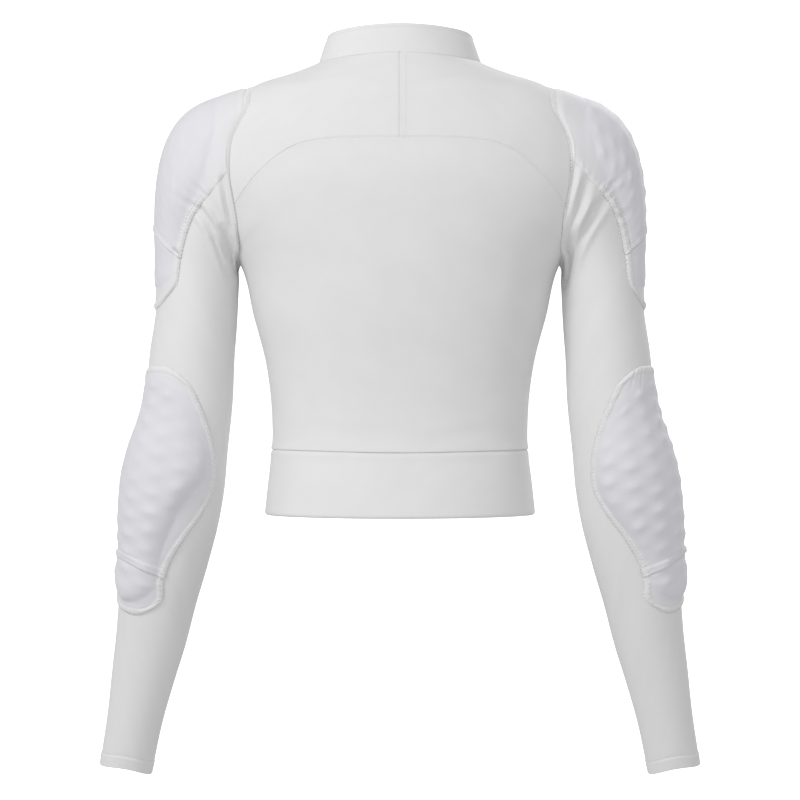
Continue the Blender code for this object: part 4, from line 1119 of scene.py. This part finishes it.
def pocket_surface(place, side, across, share, lower):
    """Outer face, inner face and normal of a pocket's cloth at across and share."""
    shape = pocket_shape(place, side)
    offset, station = pocket_place(shape, across, share)
    angle = shape["middle"] + SIDE_TURN[side] + offset
    surface, normal = sleeve_point(angle, station), sleeve_normal(angle, station)
    lift, bumps = pocket_height(shape, across, share)
    at = pocket_distances(shape, across, share)
    border, above_hem = at["border"], at["upper_length"] - at["down"]
    folds = sleeve_folds(surface, normal, side) * np.exp(-border / FOLD_REACH)
    folds += shoulder_fill(surface, normal)
    # The shoulder pocket's border is flat over the top of the arm and firm further down.
    strength = 1.0
    if place == "shoulder":
        strength = np.clip((share - FLAT_TOP) / 0.2, FLAT_STRENGTH, 1.0)
    ridge = strength * RIDGE_RISE * plateau(border, RIDGE_WIDTH, softness=0.35)
    at_edge = np.exp(-(border / (3.6 - 2.7 * strength)) ** 1.5)
    ridge -= (POCKET_CLOTH + strength * RIDGE_RISE - 0.15) * at_edge
    ridge -= 0.25 * strength * bell(border, 0.9, middle=RIDGE_WIDTH + 1.0)
    if lower:
        edge = -TUCK * bell(np.maximum(-above_hem, 0.0), 2.2)
    else:
        edge = (HEM_RISE * plateau(above_hem, HEM_WIDTH, softness=0.25)
                - fold_roll(np.maximum(above_hem, 0.0), FOLD)
                + 0.25 * bell(above_hem, 0.7, middle=HEM_WIDTH - 0.6)
                - 0.35 * bell(above_hem, 0.9, middle=HEM_WIDTH + 1.2))
    relief = folds + ridge + edge + bumps * shape["bump"][side] + puckers(place, side, across, share, border)
    outer = surface + normal * (lift + POCKET_CLOTH + relief)[..., None]
    inner = surface + normal * (lift + np.minimum(folds, 0.0))[..., None]
    return outer, inner, normal


def pocket_shares(first, last, count, close):
    """Shares down a pocket's panel, closer together beside the edges where the cloth folds.

    close is the share of the panel that the first and last 9 mm take."""
    near = np.array([0.0, 0.25, 0.6, 1.1, 1.8, 2.8, 4.0, 5.2, 6.4, 7.2, 7.8, 8.6]) / FOLDED * close
    middle = np.linspace(first + close * 1.15, last - close * 1.15, count)
    return np.concatenate([first + near, middle, last - near[::-1]])


edge_across = 1.0 - np.array([0.0, 0.006, 0.014, 0.026, 0.042, 0.062, 0.08, 0.1])
pocket_across = np.concatenate([-edge_across, np.linspace(-0.88, 0.88, 66), edge_across[::-1]])
for place, shape in POCKETS.items():
    length = float(pocket_distances(shape, 0.0, 0.0)["upper_length"])
    panels = {"upper": pocket_shares(0.0, 1.0, shape["rows"], FOLDED / length),
              "lower": pocket_shares(LOWER_START, 2.0, 14, FOLDED / LOWER_LENGTH)}
    for side in ("left", "right"):
        for part, part_shares in panels.items():
            share_grid, across_grid = np.meshgrid(part_shares, pocket_across, indexing="ij")
            outer, inner, _ = pocket_surface(place, side, across_grid, share_grid, part == "lower")
            panel = shell(f"cloth_{place}_pocket_{part}_{side}", outer, inner, pocket_knit,
                          mirrored=side == "right")
            at = pocket_distances(pocket_shape(place, side), across_grid, share_grid)
            # Thread covers the border, and the cloth between border and insert is partly as pale.
            whole = plateau(at["border"], RIDGE_WIDTH + 0.4, softness=0.4)
            near_pad = 0.45 * np.clip(-at["pad"] / 12.0, 0.0, 1.0)
            covered = np.tile(np.maximum(whole, near_pad).ravel(), 2)
            sewn = panel.data.attributes.new("sewn", "FLOAT", "POINT")
            sewn.data.foreach_set("value", covered.astype(np.float32))
            panel.data.flip_normals()
            sew_in(panel, f"{place}_pocket_{part}_{side}", "pocket_cloth", **shape["cut"][part])

# The inserts
# A soft moulded pad of foam in each pocket, thin along its edge, with staggered bumps on its outer
# face. It lies loose between the sleeve and the pocket's cloth, which holds it in its place.
PAD_BASE = 0.5
PAD_PLAY = 0.3
PAD_LEAST = 0.4
PAD_BUMPS = 0.4
PAD_NARROWER = 0.97
PAD_ROWS = 90
PAD_COLUMNS = 44


def grained(name, pattern, pattern_values, ramps, values):
    """A material whose sockets run between two tones each, by a fine pattern in the object's space."""
    material = bpy.data.materials.new(name)
    material.use_nodes = True
    tree = material.node_tree
    shader = tree.nodes["Principled BSDF"]
    place = tree.nodes.new("ShaderNodeTexCoord")
    grain = tree.nodes.new(pattern)
    for item, settings in ((shader, values), (grain, pattern_values)):
        for socket, value in settings.items():
            item.inputs[socket].default_value = value
    tree.links.new(place.outputs["Object"], grain.inputs["Vector"])
    for socket, (low, high) in ramps.items():
        ramp = tree.nodes.new("ShaderNodeValToRGB")
        ramp.color_ramp.elements[0].color = (*low, 1.0)
        ramp.color_ramp.elements[1].color = (*high, 1.0)
        tree.links.new(grain.outputs[0], ramp.inputs[0])
        tree.links.new(ramp.outputs[0], shader.inputs[socket])
    return material


foam = grained("armour foam", "ShaderNodeTexNoise", {"Scale": 900.0},
               {"Base Color": ((0.55, 0.55, 0.58), (0.66, 0.66, 0.70))}, {"Roughness": 0.85})

for place in POCKETS:
    for side in ("left", "right"):
        shape = pocket_shape(place, side)
        pad_shares, pad_widths = zip(*shape["pad"])
        share_line = np.linspace(pad_shares[0] + 0.03, pad_shares[-1] - 0.04, PAD_ROWS)
        width_line = np.maximum(np.interp(share_line, pad_shares, pad_widths), 0.2) * PAD_NARROWER
        share_grid = np.repeat(share_line[:, None], PAD_COLUMNS, axis=1)
        across_grid = width_line[:, None] * np.linspace(-1.0, 1.0, PAD_COLUMNS)[None, :]
        lift, bumps = pocket_height(shape, across_grid, share_grid)
        top = np.maximum(lift + PAD_BUMPS * bumps - PAD_PLAY, PAD_BASE + PAD_LEAST)
        offset, station = pocket_place(shape, across_grid, share_grid)
        angle = shape["middle"] + SIDE_TURN[side] + offset
        surface, normal = sleeve_point(angle, station), sleeve_normal(angle, station)
        insert = shell(f"insert_{place}_{side}", surface + normal * top[..., None],
                       surface + normal * PAD_BASE, foam, mirrored=side == "right")
        insert.data.flip_normals()
        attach(insert, "jacket")
        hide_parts(f"{place}_armor_{side}")

# The zip
# A full-length zip between the fronts: a woven tape, two rows of moulded teeth that mesh, and a
# slider of satin metal with a hinged tab just under the collar's top edge.
CHAIN_TOP_GAP = 7.0
TAPE_OUT = -0.5
TOOTH_EDGE = 0.35
TOOTH_DEPTH = 1.9
TOOTH_TOP = 0.86
TAPE_THICKNESS = 0.8
TOOTH_PITCH = 1.9
TOOTH_OUT = 0.5


def zip_line():
    """The middle line of the zip up the front and the collar, with its normals, evenly spaced."""
    levels = np.linspace(HEM, NECK - 3.0, 240)
    facing = np.full(len(levels), -90.0)
    height = np.linalg.norm(collar_point(-90.0, 1.0) - collar_point(-90.0, 0.0))
    collar_shares = np.linspace(0.08, 1.0 - CHAIN_TOP_GAP / height, 24)
    collar_facing = np.full(len(collar_shares), -90.0)
    points = np.concatenate([body_point(facing, levels), collar_point(collar_facing, collar_shares)])
    normals = np.concatenate([normals_of(body_point, facing, levels),
                              normals_of(collar_point, collar_facing, collar_shares)])
    return resample(points, normals, TOOTH_PITCH / 2)


def resample(points, normals, step):
    """A line of points with normals, resampled at even steps along its length."""
    travelled = travel(points)
    at = np.arange(0.0, travelled[-1], step)
    return pick(points, travelled, at), unit(pick(normals, travelled, at))


zip_points, zip_normals = zip_line()
tape_side = np.linspace(-CHAIN_HALF_WIDTH, CHAIN_HALF_WIDTH, 9)[None, :, None] * np.array([1.0, 0.0, 0.0])
tape_outer = zip_points[:, None] + zip_normals[:, None] * TAPE_OUT + tape_side
tape_knit = knit("zip tape", (0.78, 0.78, 0.78), roughness=0.75, sheen=0.1, pitch=0.5, depth=0.08)
tape = shell("zip_tape", tape_outer, tape_outer - zip_normals[:, None] * TAPE_THICKNESS, tape_knit)
sew_in(tape, "zip_chain", "zip_chain", flat=(0.01, 0.46), area=0.0028)

TOOTH_PROFILE = ((-2.1, -0.42), (-0.2, -0.42), (0.55, -0.62), (0.85, 0.0), (0.55, 0.62), (-0.2, 0.42),
                 (-2.1, 0.42))
tooth = np.array(TOOTH_PROFILE)
tooth_up = unit(np.gradient(zip_points, axis=0))
side_sign = np.where(np.arange(len(zip_points)) % 2 == 0, 1.0, -1.0)
teeth = []
for depth, shrink in ((TOOTH_OUT, TOOTH_TOP), (TOOTH_OUT - TOOTH_EDGE, 1.0), (TOOTH_OUT - TOOTH_DEPTH, 1.0)):
    ring = (zip_points[:, None] + zip_normals[:, None] * depth
            + (side_sign[:, None] * tooth[None, :, 0] * shrink)[..., None] * np.array([-1.0, 0.0, 0.0])
            + tooth_up[:, None] * (tooth[None, :, 1] * shrink)[..., None])
    teeth.append(ring)
teeth = np.stack(teeth, axis=1)
count = tooth.shape[0]
base = np.arange(len(zip_points))[:, None] * 3 * count
wall_faces = base[:, :, None] + grid_faces(3, count, closed=True)[None]
cap_faces = np.stack([base + np.arange(count)[::-1], base + 2 * count + np.arange(count)], axis=1)
# The teeth of one side are the other side's seen in a mirror, so that their faces turn round.
for tooth_faces in (wall_faces, cap_faces):
    tooth_faces[side_sign < 0.0] = tooth_faces[side_sign < 0.0][..., ::-1]
wall_faces, cap_faces = wall_faces.reshape(-1, 4), cap_faces.reshape(-1, count)
teeth_item = plain_mesh("zip_teeth", teeth.reshape(-1, 3), [*wall_faces.tolist(), *cap_faces.tolist()])
moulded = grained("moulded teeth", "ShaderNodeTexNoise", {"Scale": 1500.0},
                  {"Base Color": ((0.78, 0.78, 0.78), (0.84, 0.84, 0.84))},
                  {"Roughness": 0.38, "Specular IOR Level": 0.45})
teeth_item.data.materials.append(moulded)
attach(teeth_item, "jacket")

satin = grained("satin metal", "ShaderNodeTexNoise", {"Scale": 400.0, "Detail": 4.0},
                {"Base Color": ((0.66, 0.66, 0.66 * 1.01), (0.76, 0.76, 0.76 * 1.01)),
                 "Roughness": ((0.24, 0.24, 0.24 * 1.01), (0.36, 0.36, 0.36 * 1.01))}, {"Metallic": 1.0})
for node_name in ("zip_slider", "zip_pull_tab"):
    metal_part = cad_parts[node_name]
    metal_part.data.materials.clear()
    metal_part.data.materials.append(satin)

# The stitches
# White thread, sewn with the flat seams of stretch clothes: a zigzag over each joint, and running
# stitches along the overlap, the collar, the hems and the zip. Each stitch is a small bar of thread
# that sinks into the cloth at its two ends.
THREAD = 0.30
COVER_THREAD = 0.40
ARMHOLE_THREAD = 0.34
STITCH_STEP = 0.2
STITCH_ARCH = 0.22
STITCH_SINK = 0.18
SHORTEST_STITCH = 0.3

thread = grained("white thread", "ShaderNodeTexWave", {"Scale": 900.0},
                 {"Base Color": ((0.78, 0.78, 0.78), (0.90, 0.90, 0.90))},
                 {"Roughness": 0.5, "Sheen Weight": 0.2})


def read_grid(item, rows, columns):
    """The outer grid of a finished shell, in millimetres."""
    points = np.zeros(len(item.data.vertices) * 3, np.float32)
    item.data.vertices.foreach_get("co", points)
    return points.reshape(-1, 3)[:rows * columns].reshape(rows, columns, 3).astype(float) / MM


def line_beside(points, border, distance):
    """The line on a grid that stays at a distance from one of its borders, with outward normals."""
    if border in ("left", "right"):
        points = points.transpose(1, 0, 2)
    if border in ("right", "top"):
        points = points[::-1]
    down = lengths_along(points, 0)
    line = np.array([[np.interp(distance, down[:, j], points[:, j, k]) for k in range(3)]
                     for j in range(points.shape[1])])
    inwards = points[8] - points[1]
    forwards = np.gradient(line, axis=0)
    normal = unit(np.cross(forwards, inwards))
    middle = np.array([0.0, 0.0, 0.0])
    if abs(line[:, 0].mean()) > 150.0:
        middle = points.mean(axis=(0, 1))
    outwards = line - np.where(np.arange(3) == 2, line, middle)
    return line, normal * np.sign((normal * outwards).sum(axis=-1, keepdims=True))


def running(line, normals, pitch, length):
    """Running stitches along a line: starts, ends and normals, one stitch in each pitch."""
    points, facing = resample(line, normals, STITCH_STEP)
    last = len(points) - int(length / STITCH_STEP) - 1
    starts = np.arange(int(pitch / 2 / STITCH_STEP), last, int(round(pitch / STITCH_STEP)))
    ends = starts + int(round(length / STITCH_STEP))
    return points[starts], points[ends], facing[starts]


def zigzag(lines, normals, pitch):
    """A thread that goes to and fro over a seam and lies on each of its lines in turn.

    After n steps over n + 1 lines it turns back, and it is then half a pitch further on."""
    travelled = travel(lines[0])
    steps = len(lines) - 1
    at = np.arange(0.0, travelled[-1], pitch / 2 / steps)
    picked = [pick(values, travelled, at) for values in (*lines, normals)]
    order = np.abs((np.arange(len(at)) + steps) % (2 * steps) - steps)
    path = np.stack(picked[:-1])[order, np.arange(len(at))]
    return path[:-1], path[1:], unit(picked[-1][:-1])


def sew(name, rows, radius=THREAD):
    """One mesh of stitches. Each is a bar of square section that swells in its middle and tapers."""
    starts, ends, facing = (np.concatenate([row[k] for row in rows]) for k in range(3))
    length = np.linalg.norm(ends - starts, axis=-1, keepdims=True)
    keep = length[:, 0] > SHORTEST_STITCH
    starts, ends, facing, length = starts[keep], ends[keep], facing[keep], length[keep]
    forwards = (ends - starts) / length
    sideways = unit(np.cross(forwards, facing))
    up = np.cross(sideways, forwards)
    rings = []
    for at, size, height in ((0.12, 0.75, 0.0), (0.5, 1.0, STITCH_ARCH), (0.88, 0.75, 0.0)):
        middle = starts + (ends - starts) * at + up * height
        for side_step, up_step in ((1, 0), (0, 1), (-1, 0), (0, -1)):
            rings.append(middle + (sideways * side_step + up * up_step) * radius * size)
    tips = [starts - up * STITCH_SINK, ends - up * STITCH_SINK]
    points = np.stack([*rings, *tips], axis=1)
    ring_faces = grid_faces(3, 4, closed=True)[:, [0, 3, 2, 1]]
    tip_faces = [[12, k, (k + 1) % 4] for k in range(4)] + [[13, 8 + (k + 1) % 4, 8 + k] for k in range(4)]
    base = np.arange(len(starts))[:, None, None] * points.shape[1]
    faces = [*(base + ring_faces).reshape(-1, 4).tolist(),
             *(base + np.array(tip_faces)).reshape(-1, 3).tolist()]
    item = plain_mesh(name, points.reshape(-1, 3), faces)
    item.data.materials.append(thread)
    item.data.shade_smooth()
    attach(item, "jacket")
    return item


def flipped(points):
    """The same points on the other side of the jacket's middle."""
    return points * np.array([-1.0, 1.0, 1.0])


back_points = read_grid(back_panel, *back_grid.shape[:2])
yoke_rows = [running(*line_beside(back_points, "top", 1.9), pitch=2.6, length=1.7)]
for side in ("left", "right"):
    yoke_points = read_grid(bpy.data.objects["cloth_back_yoke_" + side], *yoke_grid.shape[:2])
    yoke_rows.append(running(*line_beside(yoke_points, "bottom", 1.9), pitch=2.6, length=1.7))
    if side == "right":
        for distance in (1.4, LAP_WIDTH - 0.7):
            yoke_rows.append(running(*line_beside(yoke_points, "right", distance), pitch=2.6, length=1.8))
sew("stitches_yoke", yoke_rows)

collar_points = read_grid(collar, *collar_theta.shape)
sew("stitches_collar", [running(*line_beside(collar_points, "top", COLLAR_STITCH), pitch=2.6, length=1.8)])

front_rows = []
for side in ("left", "right"):
    front_points = read_grid(bpy.data.objects["cloth_front_" + side], *front_grid.shape[:2])
    for distance in (1.8, 6.4):
        front_rows.append(running(*line_beside(front_points, "right", distance), pitch=2.8, length=1.9))
sew("stitches_fronts", front_rows)

sleeve_rows, armhole_rows = [], []
for side in ("left", "right"):
    sleeve_points = read_grid(bpy.data.objects["cloth_sleeve_" + side], *sleeve_angle.shape)
    lines = [line_beside(sleeve_points, "bottom", distance)[0]
             for distance in (0.8, 2.8, ARMHOLE_TAPE + 0.2)]
    facing = line_beside(sleeve_points, "bottom", 0.8)[1]
    across_seam = lines[0] - unit(lines[1] - lines[0]) * 2.2 + facing * 0.15
    armhole_rows.append(zigzag([across_seam, *lines], facing, pitch=3.2))
    for distance in (CUFF_HEM - 1.2, CUFF_HEM - 4.2):
        ring, ring_facing = (np.concatenate([values, values[:1]])
                             for values in line_beside(sleeve_points, "top", distance))
        sleeve_rows.append(running(ring, ring_facing, pitch=2.4, length=1.7))
sew("stitches_sleeves", sleeve_rows)
sew("stitches_armholes", armhole_rows, ARMHOLE_THREAD)


DEGREE = 0.7
HALF_BOTTOM = 40.0
HEM_ROW = 1.0


def pocket_line(place, side, inset, count=260):
    """A line round a pocket at an inset from its border: down one side, round the bottom and up.

    The inset becomes a share by the usual length of a degree round the arm, and by the length of
    the lower panel down it."""
    shape = POCKETS[place]
    down = np.linspace(shape["sewn_from"], 1.97, count)
    stations, reaches = zip(*shape["reach"])
    lines = []
    for end in (1.0, -1.0):
        _, station = pocket_place(shape, end, down)
        reach = through(stations, reaches, station) * DEGREE
        lines.append(np.stack([end * (1.0 - inset / reach), down], axis=-1))
    length = (shape["bottom"] - shape["band"]) * STATION_LENGTH
    bottom_across = np.linspace(1.0, -1.0, count // 2)[:, None] * (1.0 - inset / HALF_BOTTOM)
    bottom = np.concatenate([bottom_across, np.full_like(bottom_across, 2.0 - inset / length)], axis=-1)
    path = []
    for line in (lines[0], bottom, lines[1][::-1]):
        for lower in (False, True):
            inside = (line[:, 1] > 1.0) == lower
            if inside.sum() < 2:
                continue
            across, share = line[inside][None, :, 0], line[inside][None, :, 1]
            outer, _, normal = pocket_surface(place, side, across, share, lower)
            path.append((outer[0], normal[0]))
    return path


POCKET_STITCH_INSETS = (-0.9, 0.9, 2.9, RIDGE_WIDTH - 0.4)
pocket_rows = []
for place in POCKETS:
    for side in ("left", "right"):
        for border_lines in zip(*[pocket_line(place, side, inset) for inset in POCKET_STITCH_INSETS]):
            lines = [line for line, _ in border_lines]
            facing = border_lines[0][1]
            lines[0] = lines[0] - 0.7 * facing
            if side == "right":
                lines, facing = [flipped(line) for line in lines], flipped(facing)
            pocket_rows.append(zigzag(lines, facing, pitch=3.4))
        shape = POCKETS[place]
        across = np.linspace(-0.93, 0.93, 200)[None, :]
        length = pocket_distances(shape, across, 1.0)["upper_length"]
        outer, _, normal = pocket_surface(place, side, across, 1.0 - (HEM_WIDTH - HEM_ROW) / length, False)
        line, facing = (outer[0], normal[0]) if side == "left" else (flipped(outer[0]), flipped(normal[0]))
        pocket_rows.append(running(line, facing, pitch=2.4, length=1.7))
        # A bar of close stitches at each end of the hem takes the strain.
        for end in (-1.0, 1.0):
            tack_across = np.repeat(end * np.linspace(0.82, 0.99, 9)[None, :], 2, axis=0)
            tack_length = pocket_distances(shape, tack_across, 1.0)["upper_length"]
            tack_share = 1.0 + np.array([-HEM_WIDTH - HEM_ROW, 0.2])[:, None] / tack_length
            outer, _, normal = pocket_surface(place, side, tack_across, np.minimum(tack_share, 1.0), False)
            outer = outer + normal * 0.25
            if side == "right":
                outer, normal = flipped(outer), flipped(normal)
            pocket_rows.append((outer[0], outer[1], normal[0]))
sew("stitches_pockets", pocket_rows, COVER_THREAD)
